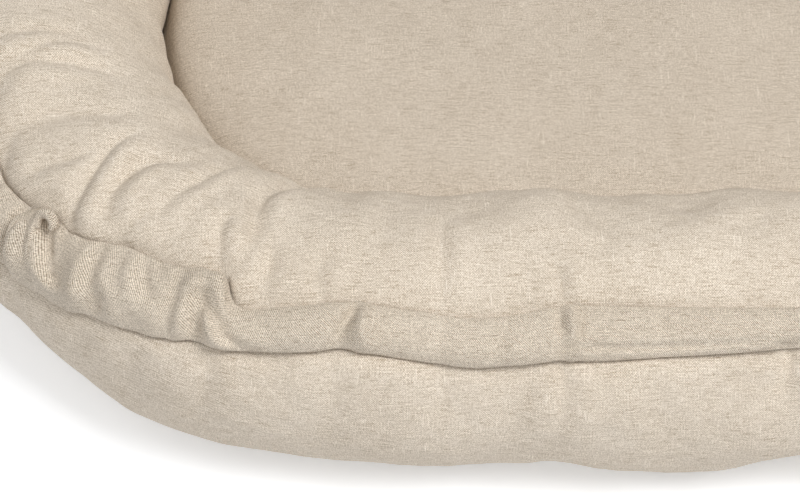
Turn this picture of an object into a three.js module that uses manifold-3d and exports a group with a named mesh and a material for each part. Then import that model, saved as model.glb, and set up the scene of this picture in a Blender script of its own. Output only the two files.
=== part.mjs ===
// An infant lounger, or baby nest: a stuffed bolster bent round a soft mattress, in a sewn linen cover.
// The head end is at -X and the foot end, where the two ends of the bolster meet, is at +X. Z is up and the
// lounger lies on z = 0. Lengths are in millimetres and angles in degrees.
// A casing runs round the shoulder of the bolster and hides the drawcord that gathers the cover.
// The padded base has a zip across it, through which the mattress comes out.

import * as THREE from "three";
import { mergeVertices } from "three/addons/utils/BufferGeometryUtils.js";
import Module from "manifold-3d";

const wasm = await Module();
wasm.setup();

// Plan of the bolster's centreline
const ringHalfWidth = 215;
const straightLength = 404;
const headDepth = 180;
const footDepth = 150;
const endGap = 8;

// Section of the bolster
const bolsterHalfWidth = 69;
const bolsterHalfHeight = 66;
const seatAngle = 60;
const endTaperShare = 0.88;
const endTaperLength = 130;
const capDepth = 11;

// Cloth and how closely sewn pieces lie
const clothThickness = 1.2;
const clearance = 0.3;
const baseThickness = 6;
const baseOverhang = 4;
const baseEdgeRound = 1.5;

// Casing and drawcord
const casingAngle = 45;
const casingSideWidth = 7;
const casingPlainRun = 40;
const cordDiameter = 3;
const pocketSlack = 2.3;

// Gathers
const gatherDepth = 5;
const gatherReach = 75;
const headGathers = 13;
const footGathers = 5;
const casingRuffle = 0.8;

// Mattress
const mattressThickness = 52;
const waddingThickness = 6;
const mattressCrown = 8;
const mattressMargin = 9;
const mattressEdgeRound = 8;
const rollMargin = 4;
const rollDrop = 2.5;
const skirtTopDrop = 20;
const crownMargin = 21;
const waddingMargin = 13;

// Zip
const zipFromFoot = 150;
const zipLength = 180;
const toothPitch = 4;
const chainHeight = 3.2;
const tapeThickness = 0.8;
const tapeWidth = 14;

// Brass eyelets, through which the drawcord's tails come out
const eyeletBore = 4.4;
const eyeletWall = 0.5;
const eyeletLip = 1.8;
const eyeletMargin = 0.5;

const radians = THREE.MathUtils.degToRad;
const seatHeight = baseThickness + clearance;
const barrelRadius = eyeletBore / 2 + eyeletWall;
const flangeRadius = barrelRadius + eyeletLip;
const faceHalfWidth = flangeRadius + eyeletMargin;
const casingHalfWidth = faceHalfWidth + casingSideWidth;
const sectionCentre = (taper) => seatHeight + bolsterHalfHeight * taper * Math.sin(radians(seatAngle));

// Geometry helpers

// Skins a list of rings, each with as many points as the next. The first and last ring are capped, unless the
// list closes on itself like a tyre. Each patch is split from its first ring's higher point, so that layers of
// cloth are split alike and keep their gap.
function loft(rings, closesOnItself = false) {
  const count = rings[0].length;
  const triangles = [];
  const last = closesOnItself ? rings.length : rings.length - 1;
  for (let i = 0; i < last; i++) {
    const next = (i + 1) % rings.length;
    for (let j = 0; j < count; j++) {
      const k = (j + 1) % count;
      const [a, b, c, d] = [i * count + j, next * count + j, next * count + k, i * count + k];
      if (rings[i][j].z < rings[i][k].z) triangles.push(a, b, d, d, b, c);
      else triangles.push(a, b, c, a, c, d);
    }
  }
  if (!closesOnItself) {
    const lastStart = (rings.length - 1) * count;
    for (const [a, b, c] of capTriangles(rings[0])) triangles.push(a, b, c);
    for (const [a, b, c] of capTriangles(rings[rings.length - 1])) {
      triangles.push(lastStart + a, lastStart + c, lastStart + b);
    }
  }
  return closedGeometry(rings.flat(), triangles);
}

// Fills a flat ring with triangles that turn the same way as the ring.
function capTriangles(ring) {
  const normal = new THREE.Vector3();
  for (let i = 0; i < ring.length; i++) {
    const next = ring[(i + 1) % ring.length];
    normal.add(new THREE.Vector3().crossVectors(ring[i], next));
  }
  normal.normalize();
  const across = new THREE.Vector3().subVectors(ring[1], ring[0]);
  across.addScaledVector(normal, -across.dot(normal)).normalize();
  const up = new THREE.Vector3().crossVectors(normal, across);
  const flat = ring.map((p) => new THREE.Vector2(p.dot(across), p.dot(up)));
  return THREE.ShapeUtils.triangulateShape(flat, []);
}

// A geometry whose faces point out, whichever way its rings were listed.
function closedGeometry(points, triangles) {
  let volume = 0;
  for (let i = 0; i < triangles.length; i += 3) {
    const [a, b, c] = [points[triangles[i]], points[triangles[i + 1]], points[triangles[i + 2]]];
    volume += a.dot(new THREE.Vector3().crossVectors(b, c));
  }
  if (volume < 0) {
    for (let i = 0; i < triangles.length; i += 3) {
      [triangles[i + 1], triangles[i + 2]] = [triangles[i + 2], triangles[i + 1]];
    }
  }
  const geometry = new THREE.BufferGeometry().setFromPoints(points);
  geometry.setIndex(triangles);
  return geometry;
}

function toSolid(geometry) {
  const bare = geometry.clone();
  bare.deleteAttribute("normal");
  bare.deleteAttribute("uv");
  const merged = mergeVertices(bare);
  return new wasm.Manifold(
    new wasm.Mesh({
      numProp: 3,
      vertProperties: merged.attributes.position.array,
      triVerts: new Uint32Array(merged.index.array),
    }),
  );
}

function fromSolid(solid) {
  const mesh = solid.getMesh();
  const geometry = new THREE.BufferGeometry();
  geometry.setAttribute("position", new THREE.BufferAttribute(mesh.vertProperties, mesh.numProp));
  geometry.setIndex(new THREE.BufferAttribute(mesh.triVerts, 1));
  return geometry;
}

function joined(geometries) {
  return fromSolid(geometries.map(toSolid).reduce((all, one) => all.add(one)));
}

function cut(geometry, ...tools) {
  return fromSolid(tools.reduce((left, tool) => left.subtract(toSolid(tool)), toSolid(geometry)));
}

// A box from its lowest corner to its highest.
function block(low, high) {
  const size = high.map((value, i) => value - low[i]);
  return new THREE.BoxGeometry(...size).translate(...low.map((value, i) => value + size[i] / 2));
}

// A flat outline, given as [x, y] points, standing from one height to another.
function slab(outline, from, to) {
  const shape = new THREE.Shape(outline.map(([x, y]) => new THREE.Vector2(x, y)));
  return new THREE.ExtrudeGeometry(shape, { depth: to - from, bevelEnabled: false }).translate(0, 0, from);
}

const linen = { roughness: 0.95, metalness: 0 };
const materials = {
  cover: new THREE.MeshStandardMaterial({ color: 0xd6c8b6, ...linen }),
  casing: new THREE.MeshStandardMaterial({ color: 0xcdc1b0, ...linen }),
  base: new THREE.MeshStandardMaterial({ color: 0xd2c4b1, ...linen }),
  filling: new THREE.MeshStandardMaterial({ color: 0xf3f1ea, ...linen }),
  foam: new THREE.MeshStandardMaterial({ color: 0xeee6cf, ...linen }),
  cord: new THREE.MeshStandardMaterial({ color: 0xe6ddcb, ...linen }),
  tape: new THREE.MeshStandardMaterial({ color: 0xc3b69f, roughness: 0.8, metalness: 0 }),
  teeth: new THREE.MeshStandardMaterial({ color: 0xb9ac95, roughness: 0.45, metalness: 0 }),
  zipMetal: new THREE.MeshStandardMaterial({ color: 0x9c9a94, roughness: 0.35, metalness: 0.9 }),
  brass: new THREE.MeshStandardMaterial({ color: 0xa88b57, roughness: 0.35, metalness: 0.95 }),
};

const lounger = new THREE.Group();

function addPart(name, geometry, material, parent = lounger) {
  const mesh = new THREE.Mesh(geometry, material);
  mesh.name = name;
  parent.add(mesh);
  return mesh;
}

// Bolster ring: stations along the centreline

// One station has its place in plan, its place on a smaller ring, the way out of the ring, the share of the full
// section that is left there, and the gather: above 0 where the cloth puffs out and below 0 where it is drawn in.
const headCentreX = -straightLength / 2;
const footCentreX = straightLength / 2;

function ellipseStation(centreX, depth, angle, gather) {
  const along = Math.cos(angle);
  const aside = Math.sin(angle);
  const smaller = (inset) =>
    new THREE.Vector2(centreX + (depth - Math.sign(depth) * inset) * along, (ringHalfWidth - inset) * aside);
  const out = new THREE.Vector2(along / depth, aside / ringHalfWidth).normalize();
  return { centre: smaller(0), smaller, out, gather };
}

// Steps round part of an ellipse. Each gather is a narrow crease and a broad puff, and the gathers grow from
// nothing at the ends of the bend.
const gatherShares = [-1, 0.6, 0.6];

function bend(centreX, depth, from, to, gathers) {
  const steps = gathers * gatherShares.length;
  const places = [];
  for (let i = 0; i <= steps; i++) {
    const share = i / steps;
    const swell = Math.sqrt(Math.sin(Math.PI * share));
    const gather = i % steps ? gatherShares[i % gatherShares.length] * swell : 0;
    places.push(ellipseStation(centreX, depth, from + (to - from) * share, gather));
  }
  return places;
}

// The middle of a straight side.
function sideStation(fromX, toX, side) {
  const smaller = (inset) => new THREE.Vector2((fromX + toX) / 2, side * (ringHalfWidth - inset));
  return { centre: smaller(0), smaller, out: new THREE.Vector2(0, side), gather: 0 };
}

// The plain run at each end of the bolster, in two steps, holds the eyelet.
const endAngle = Math.asin((endGap / 2 + capDepth + clearance) / ringHalfWidth);
const plainAngle = endAngle + casingPlainRun / ringHalfWidth;

function plainStations(side) {
  return [endAngle, (endAngle + plainAngle) / 2].map((angle) =>
    ellipseStation(footCentreX, footDepth, side * angle, 0),
  );
}

const quarterTurn = Math.PI / 2;
const stations = [
  ...plainStations(-1),
  ...bend(footCentreX, footDepth, -plainAngle, -quarterTurn, footGathers),
  sideStation(footCentreX, headCentreX, -1),
  ...bend(headCentreX, -headDepth, -quarterTurn, quarterTurn, headGathers),
  sideStation(headCentreX, footCentreX, 1),
  ...bend(footCentreX, footDepth, quarterTurn, plainAngle, footGathers),
  ...plainStations(1).reverse(),
];

// The section narrows smoothly towards each end.
function addTapers() {
  const lengths = [0];
  for (let i = 1; i < stations.length; i++) {
    lengths.push(lengths[i - 1] + stations[i].centre.distanceTo(stations[i - 1].centre));
  }
  const total = lengths[lengths.length - 1];
  stations.forEach((station, i) => {
    const fromEnd = Math.min(lengths[i], total - lengths[i]);
    const share = THREE.MathUtils.smoothstep(fromEnd, 0, endTaperLength);
    station.taper = endTaperShare + (1 - endTaperShare) * share;
  });
}
addTapers();

// How much of the gather shows at an angle of the section: all at the casing, none at the crown's far side.
function gatherShareAt(degrees) {
  const away = Math.abs(degrees - casingAngle) / gatherReach;
  return away < 1 ? Math.cos(away * quarterTurn) ** 2 : 0;
}

// The angle that a length round the section takes up.
const angleOf = (length) => THREE.MathUtils.radToDeg((2 * length) / (bolsterHalfWidth + bolsterHalfHeight));
const casingHalfAngle = angleOf(casingHalfWidth);

// A point of the section. Angle 0 faces out of the ring and 90 is the crown; lift is measured outwards from the
// outer face of the cloth.
function sectionPoint(station, degrees, lift) {
  const angle = radians(degrees);
  const push = lift + gatherDepth * station.gather * gatherShareAt(degrees);
  const across = (bolsterHalfWidth * station.taper + push) * Math.cos(angle);
  const rise = (bolsterHalfHeight * station.taper + push) * Math.sin(angle);
  return new THREE.Vector3(
    station.centre.x + station.out.x * across,
    station.centre.y + station.out.y * across,
    sectionCentre(station.taper) + rise,
  );
}

const innerSeamAngle = 180 + seatAngle;
const skirtTopAngle = 180 + skirtTopDrop;
const upperAngles = [
  casingAngle,
  casingAngle + casingHalfAngle,
  80,
  105,
  132,
  162,
  skirtTopAngle,
  innerSeamAngle,
];
const lowerAngles = [casingAngle, casingAngle - casingHalfAngle, 12, -12, -36, -seatAngle];
const fillingLift = -clothThickness - clearance;

// Half of the gap between the upper and the lower sleeve, which meet under the casing.
const seamHalfAngle = angleOf(clearance / 2);

// A sleeve is one thickness of cloth between two angles of the section.
function sleeve(angles) {
  const turnsUp = angles[1] > angles[0];
  const kept = angles.map((angle, i) => (i ? angle : angle + (turnsUp ? seamHalfAngle : -seamHalfAngle)));
  return loft(
    stations.map((station) => [
      ...kept.map((angle) => sectionPoint(station, angle, 0)),
      ...kept.toReversed().map((angle) => sectionPoint(station, angle, -clothThickness)),
    ]),
  );
}

addPart("bolster_sleeve_upper", sleeve(upperAngles), materials.cover);
addPart("bolster_sleeve_lower", sleeve(lowerAngles), materials.cover);

// The stuffing fills the sleeves, and its underside is pressed flat between the two seams.
const allAngles = [...lowerAngles.toReversed(), ...upperAngles.slice(1)];
const fillingRings = stations.map((station) =>
  allAngles.map((angle) => sectionPoint(station, angle, fillingLift)),
);
addPart("bolster_filling", loft(fillingRings), materials.filling);

// A domed disc of cloth closes each end of the bolster.
function endCap(station, neighbour) {
  const away = new THREE.Vector2().subVectors(station.centre, neighbour.centre).normalize();
  const middle = new THREE.Vector3(station.centre.x, station.centre.y, sectionCentre(station.taper));
  const flatOutline = allAngles.map((angle) => sectionPoint(station, angle, 0));
  const ring = ([shareLeft, shareOut]) => {
    const reach = clearance + capDepth * shareOut;
    return flatOutline.map((point) => {
      const drawnIn = middle.clone().lerp(point, shareLeft);
      return drawnIn.add(new THREE.Vector3(away.x * reach, away.y * reach, 0));
    });
  };
  const domeShares = [
    [1, 0],
    [0.99, 0.2],
    [0.86, 0.62],
    [0.5, 0.94],
    [0.15, 1],
  ];
  return loft(domeShares.map(ring));
}

addPart("bolster_end_cap_left", endCap(stations.at(0), stations.at(1)), materials.cover);
addPart("bolster_end_cap_right", endCap(stations.at(-1), stations.at(-2)), materials.cover);

// Casing, drawcord and eyelets

// Half of the casing's section, from the middle of its back to the middle of its face: lengths aside, and shares
// of its height. Its wall thins towards the face, and the ruffle lifts the face on the gathers.
const sideMiddleShare = 0.72;
const wallShares = { foot: 2.4, middle: 1.5, face: 0.8 };
const sideMiddle = faceHalfWidth + casingSideWidth * sideMiddleShare;
const casingOutside = [
  [0, 0],
  [casingHalfWidth, 0],
  [sideMiddle, 0.55],
  [faceHalfWidth, 1],
];
const casingInside = [
  [0, 0],
  [casingHalfWidth - clothThickness * wallShares.foot, 0],
  [sideMiddle - clothThickness * wallShares.middle, 0.5],
  [faceHalfWidth - clothThickness * wallShares.face, 1],
];
const pocketHeight = cordDiameter + pocketSlack;
const casingHeight = pocketHeight + 2 * clothThickness;

function casingRing(station, half, floor, height) {
  const whole = [...half.slice(1).toReversed().map(([aside, rise]) => [-aside, rise]), ...half];
  return whole.map(([aside, rise]) => {
    const ruffle = rise > 0 ? casingRuffle * station.gather : 0;
    return sectionPoint(station, casingAngle + angleOf(aside), floor + height * rise + ruffle);
  });
}

// The eyelet sits in the middle of the plain run's second step, square to the casing's face.
function eyeletPlace(station, next) {
  const aside = angleOf(faceHalfWidth);
  const corner = (s, side) => sectionPoint(s, casingAngle + side * aside, clearance + casingHeight);
  const [a, b, c, d] = [corner(station, -1), corner(station, 1), corner(next, 1), corner(next, -1)];
  const centre = [a, b, c, d].reduce((sum, p) => sum.add(p), new THREE.Vector3()).divideScalar(4);
  const along = new THREE.Vector3().subVectors(d, a);
  const across = new THREE.Vector3().subVectors(b, a);
  const normal = new THREE.Vector3().crossVectors(across, along).normalize();
  if (normal.z < 0) normal.negate();
  const turn = new THREE.Quaternion().setFromUnitVectors(new THREE.Vector3(0, 1, 0), normal);
  return new THREE.Matrix4().compose(centre, turn, new THREE.Vector3(1, 1, 1));
}

const flangeThickness = 0.7;
const washerThickness = 0.6;
const washerTop = -clothThickness - clearance;
const washerBottom = washerTop - washerThickness;
const clinchTop = washerBottom - clearance;
const clinchBottom = clinchTop - eyeletWall;
const clinchLip = 1;
const clinchRadius = barrelRadius + clinchLip;
const washerRadius = clinchRadius + clearance;
const eyeletSides = 14;

// A ring turned round the eyelet's axis, from [radius, height] points that close on themselves.
function turnedRing(profile) {
  const points = [...profile, profile[0]].map(([radius, height]) => new THREE.Vector2(radius, height));
  const lathe = new THREE.LatheGeometry(points, eyeletSides);
  lathe.deleteAttribute("normal");
  lathe.deleteAttribute("uv");
  return lathe;
}

const eyeletProfile = [
  [eyeletBore / 2, clinchBottom],
  [clinchRadius, clinchBottom],
  [clinchRadius, clinchTop],
  [barrelRadius, clinchTop],
  [barrelRadius, clearance],
  [flangeRadius, clearance],
  [flangeRadius, clearance + flangeThickness / 2],
  [flangeRadius - flangeThickness / 2, clearance + flangeThickness],
  [barrelRadius, clearance + flangeThickness],
  [eyeletBore / 2, clearance + flangeThickness / 2],
];
const washerProfile = [
  [barrelRadius + clearance, washerBottom],
  [washerRadius, washerBottom],
  [washerRadius, washerTop],
  [barrelRadius + clearance, washerTop],
];
const eyeletPlaces = {
  left: eyeletPlace(stations.at(1), stations.at(2)),
  right: eyeletPlace(stations.at(-2), stations.at(-3)),
};

const casingTube = loft(
  [
    ...stations.map((station) => casingRing(station, casingOutside, clearance, casingHeight)),
    ...stations
      .toReversed()
      .map((station) => casingRing(station, casingInside, clearance + clothThickness, pocketHeight)),
  ],
  true,
);
const holeLength = 2 * clothThickness + clearance;
const eyeletHoles = Object.values(eyeletPlaces).map((place) =>
  new THREE.CylinderGeometry(barrelRadius + clearance, barrelRadius + clearance, holeLength, eyeletSides)
    .translate(0, -clothThickness / 2, 0)
    .applyMatrix4(place),
);
addPart("drawcord_casing", cut(casingTube, ...eyeletHoles), materials.casing);

for (const [side, place] of Object.entries(eyeletPlaces)) {
  addPart(`eyelet_${side}`, turnedRing(eyeletProfile).applyMatrix4(place), materials.brass);
  addPart(`eyelet_washer_${side}`, turnedRing(washerProfile).applyMatrix4(place), materials.brass);
}

// The drawcord lies in the casing from one eyelet to the other.
const cordRise = clearance + clothThickness + clearance + cordDiameter / 2;
const cordSides = 8;

function cordRing(station) {
  const middle = sectionPoint(station, casingAngle, cordRise);
  const outward = sectionPoint(station, casingAngle, 2 * cordRise).sub(middle).normalize();
  const tangent = new THREE.Vector3(-station.out.y, station.out.x, 0);
  const aside = new THREE.Vector3().crossVectors(outward, tangent).normalize();
  const ring = [];
  for (let i = 0; i < cordSides; i++) {
    const angle = (i * 2 * Math.PI) / cordSides;
    const point = middle.clone().addScaledVector(outward, (Math.sin(angle) * cordDiameter) / 2);
    ring.push(point.addScaledVector(aside, (Math.cos(angle) * cordDiameter) / 2));
  }
  return ring;
}

addPart("drawcord", loft(stations.slice(2, -2).map(cordRing)), materials.cord);

// Sleeping panel, wadding and mattress

// The mattress lies in smaller rings of the same kind, and past the crown's edge its places are a share of the
// way to the spine, which runs down its middle.
const crownInset = bolsterHalfWidth + crownMargin;
const spineHalfLength = straightLength / 2;

function mattressPoint(station, inset, height) {
  const place = station.smaller(inset);
  return new THREE.Vector3(place.x, place.y, height);
}

// A place straight in from the centreline, or out from it where the inset is below 0.
function insetPoint(station, inset, height) {
  return new THREE.Vector3(
    station.centre.x - station.out.x * inset,
    station.centre.y - station.out.y * inset,
    height,
  );
}

function crownPoint(station, share, height) {
  const edge = mattressPoint(station, crownInset, height);
  const spineX = THREE.MathUtils.clamp(edge.x, -spineHalfLength, spineHalfLength);
  return edge.lerp(new THREE.Vector3(spineX, 0, height), share);
}

const coreTop = seatHeight + mattressThickness;
const waddingBottom = coreTop + clearance;
const waddingTop = waddingBottom + waddingThickness;
const panelUnder = waddingTop + clearance;
const rollInset = bolsterHalfWidth + rollMargin;

// Rings of the mattress's top, from the crown out to the edge that rolls down beside the bolster.
const crownShares = [
  [0.75, 1],
  [0.4, 0.8],
  [0, 0.2],
];
const crownRings = (height, list) =>
  crownShares.map(([share, rise]) =>
    list.map((station) => crownPoint(station, share, height + mattressCrown * rise)),
  );

// The skirt hangs from the roll, down the inner side of the bolster to its seam on the base.
const seamInset = (taper) => bolsterHalfWidth * taper * Math.cos(radians(seatAngle));
const skirtSlant = Math.sin(radians(seatAngle));
const skirtBehind = clearance + clothThickness;

function skirtFoot(station, lift) {
  return insetPoint(station, seamInset(station.taper) + lift / skirtSlant, seatHeight);
}

const panelRings = [
  ...crownRings(panelUnder + clothThickness, stations),
  stations.map((station) => mattressPoint(station, rollInset, panelUnder + clothThickness - rollDrop)),
  stations.map((station) => sectionPoint(station, skirtTopAngle, clearance)),
  stations.map((station) => skirtFoot(station, clearance)),
  stations.map((station) => skirtFoot(station, skirtBehind)),
  stations.map((station) => sectionPoint(station, skirtTopAngle, skirtBehind)),
  stations.map((station) => mattressPoint(station, rollInset + clothThickness, panelUnder - rollDrop)),
  ...crownRings(panelUnder, stations).reverse(),
];
addPart("sleeping_panel", loft(panelRings), materials.cover);

const everyOther = stations.filter((_, i) => i % 2 === 0);
const waddingInset = bolsterHalfWidth + waddingMargin;
const waddingRings = [
  everyOther.map((station) => mattressPoint(station, waddingInset, waddingBottom)),
  everyOther.map((station) => mattressPoint(station, waddingInset, waddingBottom + waddingThickness / 2)),
  ...crownRings(waddingTop, everyOther).reverse(),
];
addPart("mattress_wadding", loft(waddingRings), materials.filling);

// The zip lies across the base. Its own X runs along the chain and its Y from the head side to the foot side.
const tapeHeight = seatHeight + tapeThickness / 2;
const chainLow = tapeHeight - chainHeight / 2;
const chainHigh = tapeHeight + chainHeight / 2;
const beadWidth = 0.7;
const tapeEdge = 2;
const beadOuter = tapeEdge - clearance;
const beadInner = beadOuter - beadWidth;
const plateThickness = 0.9;
const plateLow = chainLow - clearance - plateThickness;
const plateHigh = chainHigh + clearance + plateThickness;
const sliderHalfWidth = 4.6;
const slotSideMargin = 3.4;
const slotEndMargin = 14;
const tapeTail = 4;
const slotHalfWidth = sliderHalfWidth + slotSideMargin;
const slotHalfLength = zipLength / 2 + slotEndMargin;
const tapeHalfLength = slotHalfLength + tapeTail;
const zipX = footCentreX + footDepth - zipFromFoot;

// The foam is cut away over the zip.
const reliefMargin = 3;
const reliefHalfWidth = tapeEdge + tapeWidth + reliefMargin;
const reliefHalfLength = tapeHalfLength + reliefMargin;
const reliefTop = plateHigh + clearance;
const overrun = 5;

// How far in the skirt's hidden face lies at a height: it leans in from its foot to where it leaves the bolster,
// and from there to the roll.
function skirtInset(height) {
  const topSine = Math.sin(radians(skirtTopAngle));
  const topHeight = sectionCentre(1) + (bolsterHalfHeight + skirtBehind) * topSine;
  const topInset = -(bolsterHalfWidth + skirtBehind) * Math.cos(radians(skirtTopAngle));
  const lowShare = THREE.MathUtils.clamp((height - seatHeight) / (topHeight - seatHeight), 0, 1);
  const lowInset = THREE.MathUtils.lerp(seamInset(1) + skirtBehind / skirtSlant, topInset, lowShare);
  const rollHeight = panelUnder - rollDrop;
  const highShare = THREE.MathUtils.clamp((height - topHeight) / (rollHeight - topHeight), 0, 1);
  return THREE.MathUtils.lerp(lowInset, rollInset + clothThickness, highShare);
}

// Heights of the foam's rings and how far its edges are drawn in there.
const coreShares = [
  [0, 0.5],
  [0.3, 0],
  [0.85, 0],
  [1, 1],
];
const coreRings = coreShares.map(([rise, round]) => {
  const height = seatHeight + mattressThickness * rise;
  const inset = skirtInset(height) + mattressMargin + mattressEdgeRound * round;
  return everyOther.map((station) => mattressPoint(station, inset, height));
});
const zipRelief = block(
  [zipX - reliefHalfWidth, -reliefHalfLength, seatHeight - overrun],
  [zipX + reliefHalfWidth, reliefHalfLength, reliefTop],
);
addPart("mattress_core", cut(loft(coreRings), zipRelief), materials.foam);

// Base: a padded panel under the whole lounger, with a slot for the zip
const baseReach = seamInset(1) + baseOverhang;

function baseOutline(reach) {
  return stations.map((station) => insetPoint(station, -reach, 0));
}

function atHeight(ring, height) {
  return ring.map((point) => new THREE.Vector3(point.x, point.y, height));
}

const wideOutline = baseOutline(baseReach);
const narrowOutline = baseOutline(baseReach - baseEdgeRound);
const baseSlab = loft([
  atHeight(narrowOutline, 0),
  atHeight(wideOutline, baseEdgeRound),
  atHeight(wideOutline, baseThickness - baseEdgeRound),
  atHeight(narrowOutline, baseThickness),
]);

// The slot has round ends, and stands clear of the slider all the way.
function slotOutline() {
  const shape = new THREE.Shape();
  const straight = slotHalfLength - slotHalfWidth;
  shape.absarc(zipX, straight, slotHalfWidth, 0, Math.PI);
  shape.absarc(zipX, -straight, slotHalfWidth, Math.PI, 2 * Math.PI);
  const depth = baseThickness + 2 * overrun;
  const cutter = new THREE.ExtrudeGeometry(shape, { depth, bevelEnabled: false, curveSegments: 8 });
  return cutter.translate(0, 0, -overrun);
}

addPart("base_panel", cut(baseSlab, slotOutline()), materials.base);

// Zip: two tapes, two rows of teeth, stops, a slider and its pull

// side is -1 for the tape towards the head and 1 for the tape towards the foot.
function acrossZip(side, near, far) {
  return side > 0 ? [zipX + near, zipX + far] : [zipX - far, zipX - near];
}

function zipTape(side) {
  const [low, high] = acrossZip(side, tapeEdge, tapeEdge + tapeWidth);
  return block([low, -tapeHalfLength, seatHeight], [high, tapeHalfLength, seatHeight + tapeThickness]);
}

// Each tooth widens towards its tip, which sits between two necks of the other row.
const neckHalf = 0.55;
const tipHalf = 1;
const tipReach = clearance - beadInner;

function zipTeeth(side) {
  const teeth = Math.round(zipLength / toothPitch) - 1;
  const firstTooth = -zipLength / 2 + (side > 0 ? toothPitch : toothPitch / 2);
  const outline = [[beadOuter, -zipLength / 2], [beadInner, -zipLength / 2]];
  for (let i = 0; i < teeth; i++) {
    const middle = firstTooth + i * toothPitch;
    outline.push([beadInner, middle - neckHalf], [tipReach, middle - tipHalf]);
    outline.push([tipReach, middle + tipHalf], [beadInner, middle + neckHalf]);
  }
  outline.push([beadInner, zipLength / 2], [beadOuter, zipLength / 2]);
  return slab(outline.map(([x, y]) => [zipX + side * x, y]), chainLow, chainHigh);
}

// Both plates of the slider, its diamond and its flanges, with a bridge below for the pull
const sliderLength = 11;
const sliderNarrowing = 0.8;
const sliderCorner = 1;
const shoulderShare = 0.65;
const flangeWidth = 0.9;
const flangeGap = 0.5;
const sliderLead = 5;
const sliderEnd = zipLength / 2 + sliderLead;
const sliderStart = sliderEnd - sliderLength;
const shoulder = sliderStart + sliderLength * shoulderShare;
const sliderNarrow = sliderHalfWidth - sliderNarrowing;
const diamondHalfWidth = tapeEdge - 2 * clearance;
const diamondLength = 3.4;
const diamondSetback = 0.6;
const diamondFront = sliderEnd - diamondSetback;
const diamondShoulderShare = 0.4;
const diamondTailShare = 0.25;
const diamondShoulder = diamondFront - diamondLength * diamondShoulderShare;
const bridgeWidth = 2;
const bridgeHalfLength = 3.2;
const bridgeThickness = 1;
const bridgeOpening = 1.7;
const bridgeMiddle = (sliderStart + sliderEnd) / 2;
const bridgeLow = plateLow - bridgeOpening - bridgeThickness;

// An outline that is the same on both sides of the chain, given by its +X half from back to front.
function acrossChain(half, low, high) {
  const outline = [...half, ...half.toReversed().map(([x, y]) => [-x, y])];
  return slab(outline.map(([x, y]) => [zipX + x, y]), low, high);
}

function sliderPlate(low, high) {
  const half = [
    [sliderNarrow, sliderStart],
    [sliderHalfWidth, shoulder],
    [sliderHalfWidth, sliderEnd - sliderCorner],
    [sliderHalfWidth - sliderCorner, sliderEnd],
  ];
  return acrossChain(half, low, high);
}

function sliderFlange(side, low, high) {
  const [near, far] = acrossZip(side, sliderNarrow - flangeWidth, sliderNarrow);
  return block([near, sliderStart, low], [far, shoulder, high]);
}

function zipSlider() {
  const sunk = plateThickness / 2;
  const diamondHalf = [
    [diamondHalfWidth * diamondTailShare, diamondFront - diamondLength],
    [diamondHalfWidth, diamondShoulder],
    [diamondHalfWidth, diamondFront],
  ];
  const diamond = acrossChain(diamondHalf, plateLow + sunk, plateHigh - sunk);
  const flanges = [-1, 1].flatMap((side) => [
    sliderFlange(side, plateLow + sunk, tapeHeight - tapeThickness / 2 - flangeGap),
    sliderFlange(side, tapeHeight + tapeThickness / 2 + flangeGap, plateHigh - sunk),
  ]);
  const legInside = bridgeHalfLength - bridgeThickness;
  const bridge = cut(
    block(
      [zipX - bridgeWidth / 2, bridgeMiddle - bridgeHalfLength, bridgeLow],
      [zipX + bridgeWidth / 2, bridgeMiddle + bridgeHalfLength, plateLow + sunk],
    ),
    block(
      [zipX - bridgeWidth, bridgeMiddle - legInside, bridgeLow + bridgeThickness],
      [zipX + bridgeWidth, bridgeMiddle + legInside, plateLow],
    ),
  );
  return joined([
    sliderPlate(plateLow, plateLow + plateThickness),
    sliderPlate(plateHigh - plateThickness, plateHigh),
    diamond,
    ...flanges,
    bridge,
  ]);
}

// The pull hangs on the bridge by the bar of its eye, and lies flat along the chain when it isn't in use.
const pullThickness = 0.9;
const pullBarHeight = plateLow - bridgeOpening / 2;
const eyeGap = 0.4;
const eyeRim = 1.6;
const pullLength = 19;
const pullShoulder = 0.6;
const eyeHalfWidth = bridgeWidth / 2 + eyeGap;
const eyeLength = bridgeHalfLength + bridgeThickness + eyeGap;
const pullHalfWidth = eyeHalfWidth + eyeRim;

function zipPull() {
  const shape = new THREE.Shape();
  const bar = pullThickness / 2;
  const tip = pullLength - pullHalfWidth;
  shape.moveTo(-pullHalfWidth + pullShoulder, bar);
  shape.lineTo(-pullHalfWidth, -eyeLength);
  shape.lineTo(-pullHalfWidth, -tip);
  shape.absarc(0, -tip, pullHalfWidth, Math.PI, 2 * Math.PI);
  shape.lineTo(pullHalfWidth, -eyeLength);
  shape.lineTo(pullHalfWidth - pullShoulder, bar);
  const eye = [
    [-eyeHalfWidth, -bar],
    [eyeHalfWidth, -bar],
    [eyeHalfWidth, -bar - eyeLength],
    [-eyeHalfWidth, -bar - eyeLength],
  ];
  shape.holes.push(new THREE.Path(eye.map(([x, y]) => new THREE.Vector2(x, y))));
  const options = { depth: pullThickness, bevelEnabled: false, curveSegments: 8 };
  return new THREE.ExtrudeGeometry(shape, options).translate(0, 0, -pullThickness / 2);
}

const stopLength = 2.5;
const stopGap = 0.5;
const topStopStart = sliderEnd + stopGap;
const bottomStopEnd = -zipLength / 2 - clearance;

for (const [side, name] of [
  [-1, "head"],
  [1, "foot"],
]) {
  addPart(`zip_tape_${name}`, zipTape(side), materials.tape);
  addPart(`zip_teeth_${name}`, zipTeeth(side), materials.teeth);
  const [low, high] = acrossZip(side, clearance, beadOuter);
  const stop = block([low, topStopStart, chainLow], [high, topStopStart + stopLength, chainHigh]);
  addPart(`zip_top_stop_${name}`, stop, materials.zipMetal);
}
const bottomStop = block(
  [zipX - beadOuter, bottomStopEnd - stopLength, chainLow],
  [zipX + beadOuter, bottomStopEnd, chainHigh],
);
addPart("zip_bottom_stop", bottomStop, materials.zipMetal);

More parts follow.
